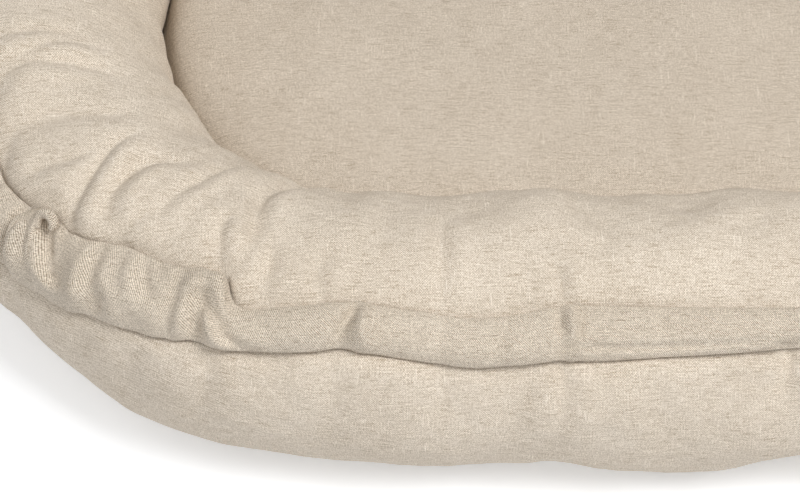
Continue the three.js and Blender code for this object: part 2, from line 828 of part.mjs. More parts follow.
const slider = new THREE.Group();
addPart("zip_slider", zipSlider(), materials.zipMetal, slider);
const pull = addPart("zip_pull", zipPull(), materials.zipMetal, slider);
pull.position.set(zipX, bridgeMiddle, pullBarHeight);
lounger.add(slider);

// The origin is in the middle of the lounger's footprint.
const whole = new THREE.Box3().setFromObject(lounger);
lounger.position.set(-(whole.min.x + whole.max.x) / 2, -(whole.min.y + whole.max.y) / 2, 0);

const part = new THREE.Group();
part.add(lounger);

export default part;
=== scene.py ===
import math

import bmesh
import bpy
import numpy as np
from mathutils import Matrix, Vector


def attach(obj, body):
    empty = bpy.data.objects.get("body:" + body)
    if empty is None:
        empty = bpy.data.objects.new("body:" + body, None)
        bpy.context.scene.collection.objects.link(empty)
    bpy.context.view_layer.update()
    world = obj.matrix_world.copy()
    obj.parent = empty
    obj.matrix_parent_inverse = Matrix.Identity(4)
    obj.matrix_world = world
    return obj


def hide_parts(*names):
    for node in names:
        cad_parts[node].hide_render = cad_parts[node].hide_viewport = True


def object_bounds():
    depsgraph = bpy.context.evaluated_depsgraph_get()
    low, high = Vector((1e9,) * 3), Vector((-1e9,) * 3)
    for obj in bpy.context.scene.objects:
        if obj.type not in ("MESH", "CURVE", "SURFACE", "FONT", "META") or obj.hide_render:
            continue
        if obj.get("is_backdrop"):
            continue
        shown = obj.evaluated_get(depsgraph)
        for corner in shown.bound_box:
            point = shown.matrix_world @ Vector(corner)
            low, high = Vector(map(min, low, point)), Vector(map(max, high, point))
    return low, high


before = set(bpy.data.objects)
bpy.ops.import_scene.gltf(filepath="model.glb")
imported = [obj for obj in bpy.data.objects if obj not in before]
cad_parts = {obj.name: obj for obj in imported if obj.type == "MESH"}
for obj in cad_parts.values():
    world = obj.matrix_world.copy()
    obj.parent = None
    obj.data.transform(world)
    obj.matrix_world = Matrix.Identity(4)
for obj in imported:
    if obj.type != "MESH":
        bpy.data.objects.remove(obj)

# An infant lounger: a stuffed linen bolster round a soft mattress, with a drawcord casing on its shoulder.
# Lengths are in metres. Along the ring, a place is its distance from the middle of the head end: below 0 on
# the left side (-Y) and above 0 on the right. Round the bolster's section, 0 degrees faces out and 90 is the
# crown.
cad_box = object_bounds()

# Plan and section of the bolster, as in the frame
HEAD_X, FOOT_X = -0.182, 0.222
RING_HALF_WIDTH = 0.215
HEAD_DEPTH, FOOT_DEPTH = 0.180, 0.150
HALF_WIDTH, HALF_HEIGHT = 0.069, 0.066
MEAN_RADIUS = (HALF_WIDTH + HALF_HEIGHT) / 2
SEAT_HEIGHT = 0.0063
SEAT_ANGLE = 60.0
END_ANGLE = 4.08
END_TAPER_SHARE = 0.88
END_TAPER_LENGTH = 0.130
CLEARANCE = 0.0003

# Casing on the shoulder
CASING_ANGLE = 45.0
CASING_LIFT = 0.0080
EYELET_FROM_END = 0.030

# Between which places of the ring its bend at the head ends, and its bend at the foot starts
HEAD_BEND_ENDS, FOOT_BEND_STARTS = (0.27, 0.40), (0.66, 0.76)

# Where the lower edge is drawn in, how far, and between which distances from the ring and which heights
TUCK_X, TUCK_DEPTH, TUCK_LENGTH = 0.042, 0.015, 0.024
TUCK_REACH, TUCK_RISE = (0.006, 0.030), (0.022, 0.050)

# Mattress
CROWN_INSET = 0.090
CROWN_EDGE_HEIGHT, SPINE_HEIGHT = 0.0677, 0.0741
CORE_TOP = 0.0583

SEED = 11
random = np.random.default_rng(SEED)


def smoothstep(x, low, high):
    """0 below low and 1 above high, with an even slope at both."""
    t = np.clip((x - low) / (high - low), 0, 1)
    return t * t * (3 - 2 * t)


def spline(knots, x):
    """A smooth curve through knots [(x, value), ...]."""
    kx, ky = (np.array(k, float) for k in zip(*sorted(knots)))
    slope = np.gradient(ky, kx)
    i = np.clip(np.searchsorted(kx, x) - 1, 0, len(kx) - 2)
    span = kx[i + 1] - kx[i]
    t = np.clip((x - kx[i]) / span, 0, 1)
    return (
        (1 + 2 * t) * (1 - t) ** 2 * ky[i]
        + t * (1 - t) ** 2 * span * slope[i]
        + t * t * (3 - 2 * t) * ky[i + 1]
        + t * t * (t - 1) * span * slope[i + 1]
    )


# The ring: centreline of the bolster, by arc length from the head's middle
ARC_STEPS, SIDE_STEPS = 2000, 1200
HEAD_ARC = np.radians(np.linspace(0, 90, ARC_STEPS))
FOOT_ARC = np.radians(np.linspace(90, END_ANGLE, ARC_STEPS))


def ring_table():
    """Distance from the head's middle, place and outward direction in plan, at fine steps of a half."""
    head, foot = HEAD_ARC, FOOT_ARC[1:]
    side = np.linspace(HEAD_X, FOOT_X, SIDE_STEPS)[1:]
    sine = np.concatenate([np.sin(head), 0 * side + 1, np.sin(foot)])
    x = np.concatenate([HEAD_X - HEAD_DEPTH * np.cos(head), side, FOOT_X + FOOT_DEPTH * np.cos(foot)])
    y = RING_HALF_WIDTH * sine
    out_x = np.concatenate([-np.cos(head) / HEAD_DEPTH, 0 * side, np.cos(foot) / FOOT_DEPTH])
    out_y = sine / RING_HALF_WIDTH
    length = np.hypot(out_x, out_y)
    along = np.concatenate([[0], np.cumsum(np.hypot(np.diff(x), np.diff(y)))])
    return along, x, y, out_x / length, out_y / length


RING = ring_table()
RING_HALF = RING[0][-1]


def unit(vectors):
    return vectors / np.linalg.norm(vectors, axis=-1, keepdims=True)


def window(x, low, in_from, in_to, high):
    """1 from in_from to in_to, and 0 below low and above high."""
    return smoothstep(x, low, in_from) * (1 - smoothstep(x, in_to, high))


def ring_at(s):
    """Centre and outward direction in plan, and the share of the full section, at distances s."""
    along, x, y, out_x, out_y = RING
    away = np.abs(s)
    side = np.where(s < 0, -1.0, 1.0)
    centre = np.stack([np.interp(away, along, x), side * np.interp(away, along, y)], -1)
    out = unit(np.stack([np.interp(away, along, out_x), side * np.interp(away, along, out_y)], -1))
    taper = END_TAPER_SHARE + (1 - END_TAPER_SHARE) * smoothstep(RING_HALF - away, 0, END_TAPER_LENGTH)
    return centre, out, taper


def section_point(s, degrees, lift, lean=0.0):
    """Points on the bolster's section, lifted outwards, and moved along the ring by lean."""
    centre, out, taper = ring_at(s + lean)
    angle = np.radians(degrees)
    across = (HALF_WIDTH * taper + lift) * np.cos(angle)
    rise = (HALF_HEIGHT * taper + lift) * np.sin(angle)
    middle = SEAT_HEIGHT + HALF_HEIGHT * taper * math.sin(math.radians(SEAT_ANGLE))
    x, y = (centre[..., k] + out[..., k] * across for k in (0, 1))
    return np.stack([x, y, middle + rise], -1)


def tuck(points):
    """Draws the lower edge in on the left side, where folds of the sleeve meet the base."""
    near = TUCK_DEPTH * np.exp(-(((points[..., 0] - TUCK_X) / TUCK_LENGTH) ** 2))
    reach = -points[..., 1] - RING_HALF_WIDTH
    low = smoothstep(reach, *TUCK_REACH) * (1 - smoothstep(points[..., 2], *TUCK_RISE))
    points[..., 1] += near * low
    return points


def places(steps):
    """Distances along the ring, the same on both sides of the head, from [(up to, step), ...]."""
    half = [0.0]
    for end, step in steps:
        count = max(1, round((end - half[-1]) / step))
        half += list(np.linspace(half[-1], end, count + 1)[1:])
    half = np.array(half)
    return np.concatenate([-half[:0:-1], half])


def spans(ends_and_steps):
    """Distances along the ring from one end to the next, each span with its own step."""
    whole = []
    for (start, step), (end, _) in zip(ends_and_steps, ends_and_steps[1:]):
        count = max(1, round((end - start) / step))
        whole += list(np.linspace(start, end, count + 1)[:-1])
    return np.array(whole + [ends_and_steps[-1][0]])


def distance_along(points):
    """Distance along a row of points, from the first to each."""
    return np.concatenate([[0], np.cumsum(np.linalg.norm(np.diff(points, axis=0), axis=1))])


def under_casing(degrees, low, high):
    """1 where the casing from low to high covers the cloth, and 0 beside it."""
    return window(degrees, low - 2, low + 3, high - 3, high + 2)


def bent(s):
    """1 where the ring is bent, at the head and the foot, and 0 along its sides."""
    return 1 - smoothstep(np.abs(s), *HEAD_BEND_ENDS) + smoothstep(np.abs(s), *FOOT_BEND_STARTS)


def fold_line(points, count=14):
    """A smooth line of places through a few of them."""
    points = np.array(points, float)
    t = np.linspace(0, 1, len(points))
    fine = np.linspace(0, 1, count)
    return np.stack([spline(list(zip(t, points[:, k])), fine) for k in (0, 1)], 1)


# Millimetres to a degree of the section, and how far the cloth puffs up beside a fold, to its depth
DEGREE = math.radians(1) * MEAN_RADIUS * 1000
PUFF_SHARE = 0.45
# Across a fold, in its half widths: where that puff is and how wide, and the same of the lip that leans over
PUFF_AT, PUFF_WIDTH, LIP_AT, LIP_WIDTH = 2.1, 1.2, 1.5, 1.1


def bumps(s, degrees, places_and_sizes):
    """Lift, in metres, of rounded lumps: (distance in mm, degrees, radius in mm, height in mm)."""
    lift = 0 * s
    for at, angle, radius, height in places_and_sizes:
        off = ((s * 1000 - at) ** 2 + ((degrees - angle) * DEGREE) ** 2) / radius ** 2
        lift = lift + height / 1000 * np.exp(-off)
    return lift


# A fold is a line on the bolster: (distance in mm, degrees) points, its depth and half width in mm, how far
# its lip leans along the ring in mm, and how much steeper its left side is than its right one.


def fold_field(s, degrees, folds, soften=1.0):
    """Lift and lean, in metres, that the folds give at places (s, degrees). Above 1, soften widens them."""
    flat_x, flat_y = (s * 1000).ravel(), (degrees * DEGREE).ravel()
    lift, lean = np.zeros(len(flat_x)), np.zeros(len(flat_x))
    for points, depth, width, tip, bias in folds:
        line = fold_line(points) * [1, DEGREE]
        first_width, last_width = np.array(width if isinstance(width, tuple) else (width, width)) * soften
        reach = 5 * max(first_width, last_width)
        low, high = line.min(0) - reach, line.max(0) + reach
        near = np.nonzero((flat_x > low[0]) & (flat_x < high[0]) & (flat_y > low[1]) & (flat_y < high[1]))[0]
        if not len(near):
            continue
        at = np.stack([flat_x[near], flat_y[near]], 1)
        best = np.full(len(near), 1e9)
        side, share = np.zeros(len(near)), np.zeros(len(near))
        for i in range(len(line) - 1):
            a, d = line[i], line[i + 1] - line[i]
            t = np.clip(((at - a) @ d) / (d @ d), 0, 1)
            off = at - a - t[:, None] * d
            dist = np.hypot(off[:, 0], off[:, 1])
            cross = (d[0] * off[:, 1] - d[1] * off[:, 0]) / (math.hypot(*d) * np.maximum(dist, 1e-6))
            closer = dist < best
            best[closer] = dist[closer]
            side[closer] = cross[closer]
            share[closer] = (i + t[closer]) / (len(line) - 1)
        # A fold fades out at both ends. Across it, q is the distance in half widths, with a sharp valley at 0.
        strength = np.sin(np.pi * np.clip(0.12 + share * 0.86, 0, 1)) ** 0.7
        q = best / (first_width + (last_width - first_width) * share)
        valley = -np.exp(-1.2 * (q * (1 + 0.45 * bias * side)) ** 1.5)
        puff = PUFF_SHARE * (1 + 0.9 * bias * side) * np.exp(-(((q - PUFF_AT) / PUFF_WIDTH) ** 2))
        lift[near] += depth * strength * (valley + puff)
        lip = math.copysign(1, tip)
        down = math.copysign(1, line[0, 1] - line[-1, 1])
        over = np.exp(-(((q * side * lip - LIP_AT) / LIP_WIDTH) ** 2))
        lean[near] -= abs(tip) * lip * down * strength * over
    return lift.reshape(s.shape) / 1000, lean.reshape(s.shape) / 1000


def unevenness(x, y, layers):
    """The sum of ripples (height in metres, wavelength, seed)."""
    return sum(height * ripple(x, y, wave, seed) for height, wave, seed in layers)


def crumple(x, y, wave, seed):
    """Rounded lumps between sharp creases, from about -1 in the creases to 0.6 on the lumps."""
    return 1.6 * np.minimum(np.abs(ripple(x, y, wave, seed)), 1) ** 0.7 - 1


def ripple(x, y, wave, seed, turns=9):
    """Smooth unevenness between about -1 and 1 with a typical wavelength."""
    draw = np.random.default_rng(seed)
    total = 0
    for _ in range(turns):
        angle, phase = draw.uniform(0, 2 * math.pi, 2)
        k = 2 * math.pi / (wave * draw.uniform(0.7, 1.5))
        total = total + np.sin(k * (x * math.cos(angle) + y * math.sin(angle)) + phase)
    return total / math.sqrt(turns)


# The casing wanders on the shoulder: (distance in mm, degrees of its upper and of its lower edge)
CASING = [
    (-986, 55.2, 34.8), (-700, 55.2, 34.8), (-600, 60, 40), (-517, 61, 44), (-489, 61, 42),
    (-450, 61.5, 40), (-422, 62, 38.5), (-403, 62, 38.5), (-384, 58.5, 37), (-364, 57, 36), (-336, 60, 39),
    (-314, 62, 41), (-302, 63, 42), (-288, 60, 40), (-272, 57, 38), (-260, 55, 36), (-246, 65.5, 34),
    (-234, 63, 30), (-218, 61, 28), (-205, 60, 25), (-193, 54, 20), (-181, 51, 17), (-167, 50, 16),
    (-150, 47, 17), (-120, 51, 20), (-60, 57, 26), (0, 59, 29), (70, 53, 23), (140, 57, 27), (210, 55, 25),
    (280, 60, 36), (360, 60, 40), (440, 55, 37), (540, 59, 41), (700, 55.2, 34.8), (986, 55.2, 34.8)]
CASING_UPPER = [(at, high) for at, high, _ in CASING] + [(-257, 57), (-253, 64)]
CASING_LOWER = [(at, low) for at, _, low in CASING] + [(-254, 35)]


def casing_edge(s, side):
    """Degrees of the casing's upper edge, with side 1, or of its lower one."""
    return spline(CASING_UPPER if side > 0 else CASING_LOWER, s * 1000)


def casing_middle(s):
    return (casing_edge(s, 1) + casing_edge(s, -1)) / 2


def casing_half(s):
    """Half the casing's width, in metres."""
    return (casing_edge(s, 1) - casing_edge(s, -1)) / 2 * DEGREE / 1000


# Folds that the photograph shows, on the left of the head
shown_upper = [
    ([(-179, 54), (-175, 64), (-171, 74), (-167, 83), (-164, 94), (-165, 104)], 3.6, (3.4, 2.8), 0, 0.8),
    ([(-147, 53), (-151, 64), (-158, 75), (-160, 84)], 1.9, 2.8, 0, 0.5),
    ([(-131, 52), (-125, 60), (-125, 68), (-127, 76), (-141, 96), (-150, 109)], 2.4, 4.6, 0, 0.4),
    ([(-98, 67), (-94, 76), (-96, 87), (-104, 102), (-115, 114)], 2.6, 3.4, 0, 0.6),
    ([(-89, 70), (-88, 79), (-86, 91), (-88, 104), (-95, 114)], 2.2, 3.0, 0, 0.6),
    ([(-74, 74), (-75, 84), (-79, 99), (-85, 110)], 2.0, 3.6, 0, 0.5),
    ([(-191, 66), (-186, 72), (-184, 80), (-184, 90), (-187, 98), (-200, 108)], 3.2, (4.0, 3.0), 0, 0.8),
    ([(-211, 78), (-211, 90), (-214, 101), (-215, 113), (-220, 127)], 2.1, 3.0, 0, 0.6),
    ([(-201, 58), (-204, 68), (-207, 76)], 1.6, 2.6, 0, 0.5),
    ([(-247, 67), (-244, 75), (-240, 84), (-241, 91)], 3.4, (4.2, 3.0), 0, 0.7),
    ([(-256, 70), (-255, 87), (-251, 98), (-248, 113), (-251, 124), (-256, 137)], 3.0, (3.0, 5.5), 0, 0.3),
    ([(-266, 62), (-267, 74), (-265, 86)], 2.2, 3.0, 0, -0.3),
    ([(-292, 64), (-289, 74), (-293, 82)], 1.5, 3.2, 0, 0.5),
    ([(-346, 64), (-346, 78), (-346, 92), (-347, 106)], 2.2, 3.6, 0, 0.7),
    ([(-319, 122), (-320, 104), (-318, 90)], 1.2, 5.0, 0, 0.3),
    ([(-412, 132), (-416, 112), (-426, 96), (-423, 84)], 2.0, 6.0, 0, 0.3),
    ([(-404, 63), (-403, 72), (-400, 80)], 1.6, 3.0, 0, 0.3),
    ([(-491, 94), (-497, 100), (-506, 108)], 1.6, 7.0, 0, 0),
]
# Lumps and hollows of the cover that it shows: (distance in mm, degrees, radius in mm, height in mm)
shown_swells = [
    (-256, 134, 13, -3.6), (-358, 112, 12, -2.6), (-470, 118, 15, -2.4), (-196, 86, 12, 1.8),
    (-230, 92, 16, 1.2), (-276, 104, 22, 1.6), (-380, 92, 32, 1.8), (-452, 92, 30, 2.0),
    (-462, -38, 46, 4.0), (-404, -36, 15, -2.2), (-532, -8, 20, -4), (-532, 18, 18, -3)
]
shown_lower = [
    ([(-297, 40), (-299, 18), (-296, 2)], 1.6, 4.5, 0, 0.4),
    ([(-403, 38), (-405, 22), (-400, -12)], 2.0, (3.5, 7.0), 0, 0.3),
    ([(-254, 34), (-254, 14), (-250, 0)], 2.0, (3.0, 6.0), 0, 0.4),
    ([(-228, 30), (-226, 12), (-222, -6)], 1.2, 6.0, 0, 0),
    ([(-205, 22), (-202, 6), (-196, -10)], 1.2, 6.0, 0, 0.3),
    ([(-347, 36), (-345, 14)], 1.0, 6.0, 0, 0),
    ([(-455, 42), (-452, 18), (-455, 2)], 1.0, 8.0, 0, 0.2),
    ([(-514, 45), (-512, 34), (-508, 24)], 2.6, (2.4, 5.0), 0, 0),
]
shown_casing = [
    ([(-159, 50), (-160, 40), (-161, 31), (-163, 23), (-166, 12)], 8.0, (2.2, 2.6), -2.5, -0.8),
    ([(-171, 52), (-172, 46), (-175, 42), (-180, 35), (-186, 30), (-191, 34)], 6.4, (2.0, 1.8), 1.8, 0.85),
    ([(-169, 54), (-175, 54), (-180, 51), (-180, 45)], 7.0, (1.8, 1.6), 1.0, 0.6),
    ([(-197, 58), (-199, 50), (-202, 41), (-206, 34)], 4.6, (1.8, 3.4), 0, 0.6),
    ([(-208, 38), (-207, 32), (-205, 24)], 6.0, (3.2, 4.2), 0, 0.2),
    ([(-216, 62), (-221, 53), (-228, 45)], 4.8, (1.8, 3.6), 0, 0.6),
    ([(-222, 64), (-226, 57), (-233, 51)], 3.0, (2.0, 2.6), 0, 0.4),
    ([(-234, 63), (-236, 50), (-237, 40), (-240, 31)], 3.4, (1.8, 3.2), 0, -0.6),
    ([(-244, 54), (-247, 45), (-249, 38), (-250, 30)], 8.5, (2.0, 4.4), 0, -0.5),
    ([(-245, 57), (-249, 51), (-253, 47), (-257, 43), (-264, 39), (-275, 37)], 5.6, (1.8, 2.8), 1.5, 0.7),
    ([(-250, 68), (-254, 62), (-256, 58), (-259, 53)], 9.0, (2.0, 1.8), 2.0, 0.85),
    ([(-308, 66), (-305, 58), (-301, 50), (-299, 42)], 7.4, (1.6, 4.6), 1.5, -0.6),
    ([(-311, 65), (-312, 55), (-313, 46)], 2.6, 2.0, 0, 0.5),
    ([(-346, 62), (-346, 50), (-344, 38)], 1.6, 3.4, 0, 0.3),
    ([(-378, 58), (-374, 46), (-372, 36)], 1.4, 4.4, 0, 0.3),
    ([(-402, 65), (-403, 55), (-404, 49), (-401, 39)], 4.4, (1.6, 4.2), 0, -0.6),
    ([(-411, 64), (-412, 55), (-410, 48), (-404, 43)], 4.6, (1.4, 2.6), 1.0, 0.6),
    ([(-412, 45), (-440, 45), (-475, 46), (-512, 48)], 2.4, 1.6, 0, 0),
    ([(-450, 62), (-452, 50)], 1.6, 2.6, 0, 0.3),
    ([(-506, 45), (-513, 45), (-524, 46)], 6.0, (1.6, 3.4), 0, 0),
    ([(-143, 50), (-140, 38), (-146, 20)], 4.0, (2.0, 3.4), -1.5, -0.5),
    ([(-118, 54), (-122, 38), (-116, 20)], 5.4, (3.0, 2.2), 2.0, 0.6),
    ([(-95, 56), (-92, 40), (-97, 22)], 4.0, (2.0, 3.2), -1.5, -0.5),
    ([(-70, 58), (-74, 42), (-68, 24)], 5.6, (3.0, 2.4), 2.0, 0.5),
    ([(-44, 58), (-41, 42), (-46, 24)], 3.4, (2.2, 3.2), 0, 0.4),
    ([(-18, 60), (-21, 44), (-16, 26)], 5.2, (2.2, 3.4), -1.5, -0.6),
]
shown_lumps = [
    (-168, 40, 6, -0.8), (-184, 52, 5, 2.0), (-194, 42, 8, 1.2), (-212, 50, 8, 1.8), (-216, 38, 8, 1.4),
    (-230, 57, 7, 1.8), (-229, 42, 8, 1.4), (-242, 58, 4.5, 3.0), (-248, 64, 5, 3.4), (-255, 66, 4, 2.0),
    (-283, 50, 16, 2.0), (-308, 54, 4.5, 2.2), (-406, 56, 2.6, 2.2), (-153, 38, 9, 2.0), (-130, 38, 9, 2.0),
    (-104, 40, 9, 2.0)
]


def strewn(stretches, least, most):
    """Seeded distances in stretches [(from, to, gap)] of the ring, in mm, least to most gaps apart."""
    for start, end, gap in stretches:
        s = start + random.uniform(0.2, 0.8) * gap
        while s < end:
            yield s
            s += gap * random.uniform(least, most)


def more_folds(stretches, edge, reach, depth, width):
    """Seeded folds that run reach degrees from a casing edge."""
    folds = []
    for s in strewn(stretches, 0.65, 1.45):
        size = random.uniform(0.5, 1.0)
        first = float(casing_edge(np.array(s / 1000), edge))
        run = reach * random.uniform(0.6, 1.1)
        drift = random.uniform(-7, 7)
        middle = (s + drift * 0.4, first + run * 0.5)
        points = [(s, first - reach * 0.12), middle, (s + drift, first + run)]
        turn = random.choice([-1, 1])
        wide = width * random.uniform(0.7, 1.2)
        folds.append((points, depth * size, (wide, wide * 0.8), 0.0, turn * 0.6))
    return folds


# Stretches of the ring that the photograph doesn't show: (from, to, gap between folds), in mm
HEAD_REST, SIDES = [(10, 300, 27)], [(-700, -540, 80), (320, 700, 75)]
FOOT = [(-960, -700, 34), (700, 960, 34)]
upper_folds = (
    shown_upper
    + more_folds(HEAD_REST, 1, 46, 3.6, 6.0)
    + more_folds(SIDES, 1, 40, 1.6, 8.0)
    + more_folds(FOOT, 1, 38, 3.0, 6.0)
)
lower_folds = (
    shown_lower
    + more_folds([(-185, 300, 25)], -1, -44, 3.0, 5.5)
    + more_folds(SIDES, -1, -34, 1.6, 7.5)
    + more_folds(FOOT, -1, -36, 2.4, 6.0)
)


def across_casing(stretches, depth, width, tip):
    """Seeded folds across the casing."""
    folds = []
    for s in strewn(stretches, 0.6, 1.4):
        low, high = (float(casing_edge(np.array(s / 1000), side)) for side in (-1, 1))
        size = random.uniform(0.45, 1.0)
        sway, skew = random.uniform(-4, 4, 2)
        points = [(s - sway, high + 3), (s + skew, (low + high) / 2), (s + sway, low - 3)]
        turn = random.choice([-1, 1])
        wide = width * random.uniform(0.7, 1.3, 2)
        folds.append((points, depth * size, tuple(wide), turn * tip * size, turn * 0.6))
    return folds


casing_folds = (
    shown_casing
    + across_casing([(8, 300, 24)], 5.0, 3.0, 1.5)
    + across_casing([(-690, -530, 70), (320, 690, 66)], 3.6, 3.0, 0.8)
    + across_casing([(-935, -690, 27), (690, 935, 27)], 4.2, 2.9, 1.0)
)


def add_object(name, data):
    made = bpy.data.objects.new(name, data)
    bpy.context.scene.collection.objects.link(made)
    return made


def grid_mesh(name, points, uvs, close_across=True, close_along=False, caps=False):
    """A piece from a grid of points [along, across]. uvs(i, j, di, dj) is its cloth at i + di, j + dj."""
    rows, columns = points.shape[:2]
    index = np.arange(rows * columns).reshape(rows, columns)
    i = np.arange(rows if close_along else rows - 1)
    j = np.arange(columns if close_across else columns - 1)
    i, j = (a.ravel() for a in np.meshgrid(i, j, indexing="ij"))
    i2, j2 = (i + 1) % rows, (j + 1) % columns
    faces = np.stack([index[i, j], index[i, j2], index[i2, j2], index[i2, j]], 1)
    flat = np.stack([uvs(i, j, 0, 0), uvs(i, j, 0, 1), uvs(i, j, 1, 1), uvs(i, j, 1, 0)], 1)
    mesh = bpy.data.meshes.new(name)
    vertices = points.reshape(-1, 3)
    all_faces, all_uvs = faces.tolist(), flat.reshape(-1, 2)
    if caps:
        vertices, all_faces, all_uvs = end_caps(vertices, index, all_faces, all_uvs)
    mesh.from_pydata(vertices.tolist(), [], all_faces)
    layer = mesh.uv_layers.new(name="flat_cloth")
    layer.data.foreach_set("uv", np.asarray(all_uvs, np.float32).ravel())
    mesh.update()
    return add_object(name, mesh)


def end_caps(vertices, index, faces, uvs):
    """Closes both ends of a tube with rings that shrink to a point."""
    count = index.shape[1]
    for row, turn in ((0, -1), (-1, 1)):
        previous = index[row]
        rim = vertices[previous]
        middle = rim.mean(0)
        for share in (0.66, 0.33, 0):
            current = len(vertices) + np.arange(count)
            if share:
                vertices = np.concatenate([vertices, middle + (rim - middle) * share])
                corners = [previous, np.roll(previous, -1), np.roll(current, -1), current]
            else:
                vertices = np.concatenate([vertices, middle[None]])
                corners = [previous, np.roll(previous, -1), np.full(count, len(vertices) - 1)]
            patch = np.stack(corners, 1)
            faces += patch[:, ::turn].tolist()
            uvs = np.concatenate([uvs, vertices[patch].reshape(-1, 3)[:, 1:]])
            previous = current
    return vertices, faces, uvs


def coordinates(piece):
    """The piece's vertices, one to a row."""
    co = np.empty(len(piece.data.vertices) * 3)
    piece.data.vertices.foreach_get("co", co)
    return co.reshape(-1, 3)


def set_coordinates(piece, co):
    piece.data.vertices.foreach_set("co", co.ravel())
    piece.data.update()


def only(piece):
    """Selects the piece alone."""
    bpy.ops.object.select_all(action="DESELECT")
    piece.select_set(True)
    bpy.context.view_layer.objects.active = piece


def apply_modifier(piece, kind, **settings):
    only(piece)
    modifier = piece.modifiers.new(kind.lower(), kind)
    for key, value in settings.items():
        setattr(modifier, key, value)
    bpy.ops.object.modifier_apply(modifier=modifier.name)


def face_outward(piece):
    """Turns every face of a closed piece outwards."""
    only(piece)
    bpy.ops.object.mode_set(mode="EDIT")
    bpy.ops.mesh.select_all(action="SELECT")
    bpy.ops.mesh.normals_make_consistent(inside=False)
    bpy.ops.object.mode_set(mode="OBJECT")


def dress(piece, material, rounded=True):
    """Rounds the piece's facets, shades it smooth and gives it its material."""
    if rounded:
        apply_modifier(piece, "SUBSURF", levels=1, render_levels=1)
    piece.data.polygons.foreach_set("use_smooth", np.ones(len(piece.data.polygons), bool))
    piece.data.update()
    piece.data.materials.append(material)


WEIGHT_STEPS = 50


def weights(piece, name, values):
    """A vertex group with these values, in steps."""
    group = piece.vertex_groups.new(name=name)
    steps = np.round(np.clip(values, 0, 1) * WEIGHT_STEPS).astype(int)
    for step in np.unique(steps):
        if step:
            group.add(np.nonzero(steps == step)[0].tolist(), step / WEIGHT_STEPS, "REPLACE")
    return group.name


def settle(piece, held, slack, growth, frames, pressure, stiffness, bending, cap):
    """Blows the cloth up over its stuffing and lets the slack wrinkle, each point near where it was."""
    before = coordinates(piece)
    only(piece)
    cloth = piece.modifiers.new("settle", "CLOTH")
    settings = cloth.settings
    settings.quality = 6
    settings.mass = 0.25
    settings.tension_stiffness = settings.compression_stiffness = stiffness
    settings.shear_stiffness = stiffness / 3
    settings.bending_model = "ANGULAR"
    settings.bending_stiffness = bending
    settings.air_damping = 1
    settings.effector_weights.gravity = 0
    settings.use_pressure = True
    settings.uniform_pressure_force = pressure
    settings.vertex_group_mass = weights(piece, "held", held)
    settings.pin_stiffness = 1
    settings.shrink_min = 0
    settings.shrink_max = -growth
    settings.vertex_group_shrink = weights(piece, "slack", slack)
    cloth.collision_settings.use_collision = False
    cloth.point_cache.frame_start, cloth.point_cache.frame_end = 1, frames
    scene = bpy.context.scene
    for number in range(1, frames + 1):
        scene.frame_set(number)
    bpy.ops.object.modifier_apply(modifier=cloth.name)
    scene.frame_set(1)
    moved = coordinates(piece) - before
    length = np.linalg.norm(moved, axis=1, keepdims=True)
    softened = cap * np.tanh(length / cap)
    set_coordinates(piece, before + moved * softened / np.maximum(length, 1e-9))
    piece.vertex_groups.clear()


def group_tree(name, inputs, outputs):
    """A node group with these sockets: (name, kind, default) in and (name, kind) out."""
    tree = bpy.data.node_groups.new(name, "ShaderNodeTree")
    for socket, kind, default in inputs:
        made = tree.interface.new_socket(name=socket, in_out="INPUT", socket_type=kind)
        if default is not None:
            made.default_value = default
    for socket, kind in outputs:
        tree.interface.new_socket(name=socket, in_out="OUTPUT", socket_type=kind)
    return tree


class Nodes:
    """Short calls that add nodes to a tree and link them."""

    def __init__(self, tree):
        self.tree = tree

    def put(self, socket, value):
        """Links or sets a socket."""
        if isinstance(value, bpy.types.NodeSocket):
            self.tree.links.new(value, socket)
        elif value is not None:
            socket.default_value = value

    def add(self, kind, inputs=None, **settings):
        node = self.tree.nodes.new("ShaderNode" + kind)
        for key, value in settings.items():
            setattr(node, key, value)
        for key, value in (inputs or {}).items():
            self.put(node.inputs[key], value)
        return node

    def math(self, operation, a, b=None, c=None, clamp=False):
        node = self.add("Math", operation=operation, use_clamp=clamp)
        for socket, value in zip(node.inputs, (a, b, c)):
            self.put(socket, value)
        return node.outputs[0]

    def vector(self, operation, a, b=None):
        node = self.add("VectorMath", operation=operation)
        for socket, value in zip(node.inputs, (a, b)):
            self.put(socket, value)
        return node.outputs[0]

    def noise(self, where, scale=1.0, detail=2.0, roughness=0.5):
        inputs = {"Vector": where, "Scale": scale, "Detail": detail, "Roughness": roughness}
        return self.add("TexNoise", inputs).outputs[0]

    def spread(self, value, low, high, to_low=0.0, to_high=1.0):
        inputs = {0: value, 1: low, 2: high, 3: to_low, 4: to_high}
        return self.add("MapRange", inputs).outputs[0]


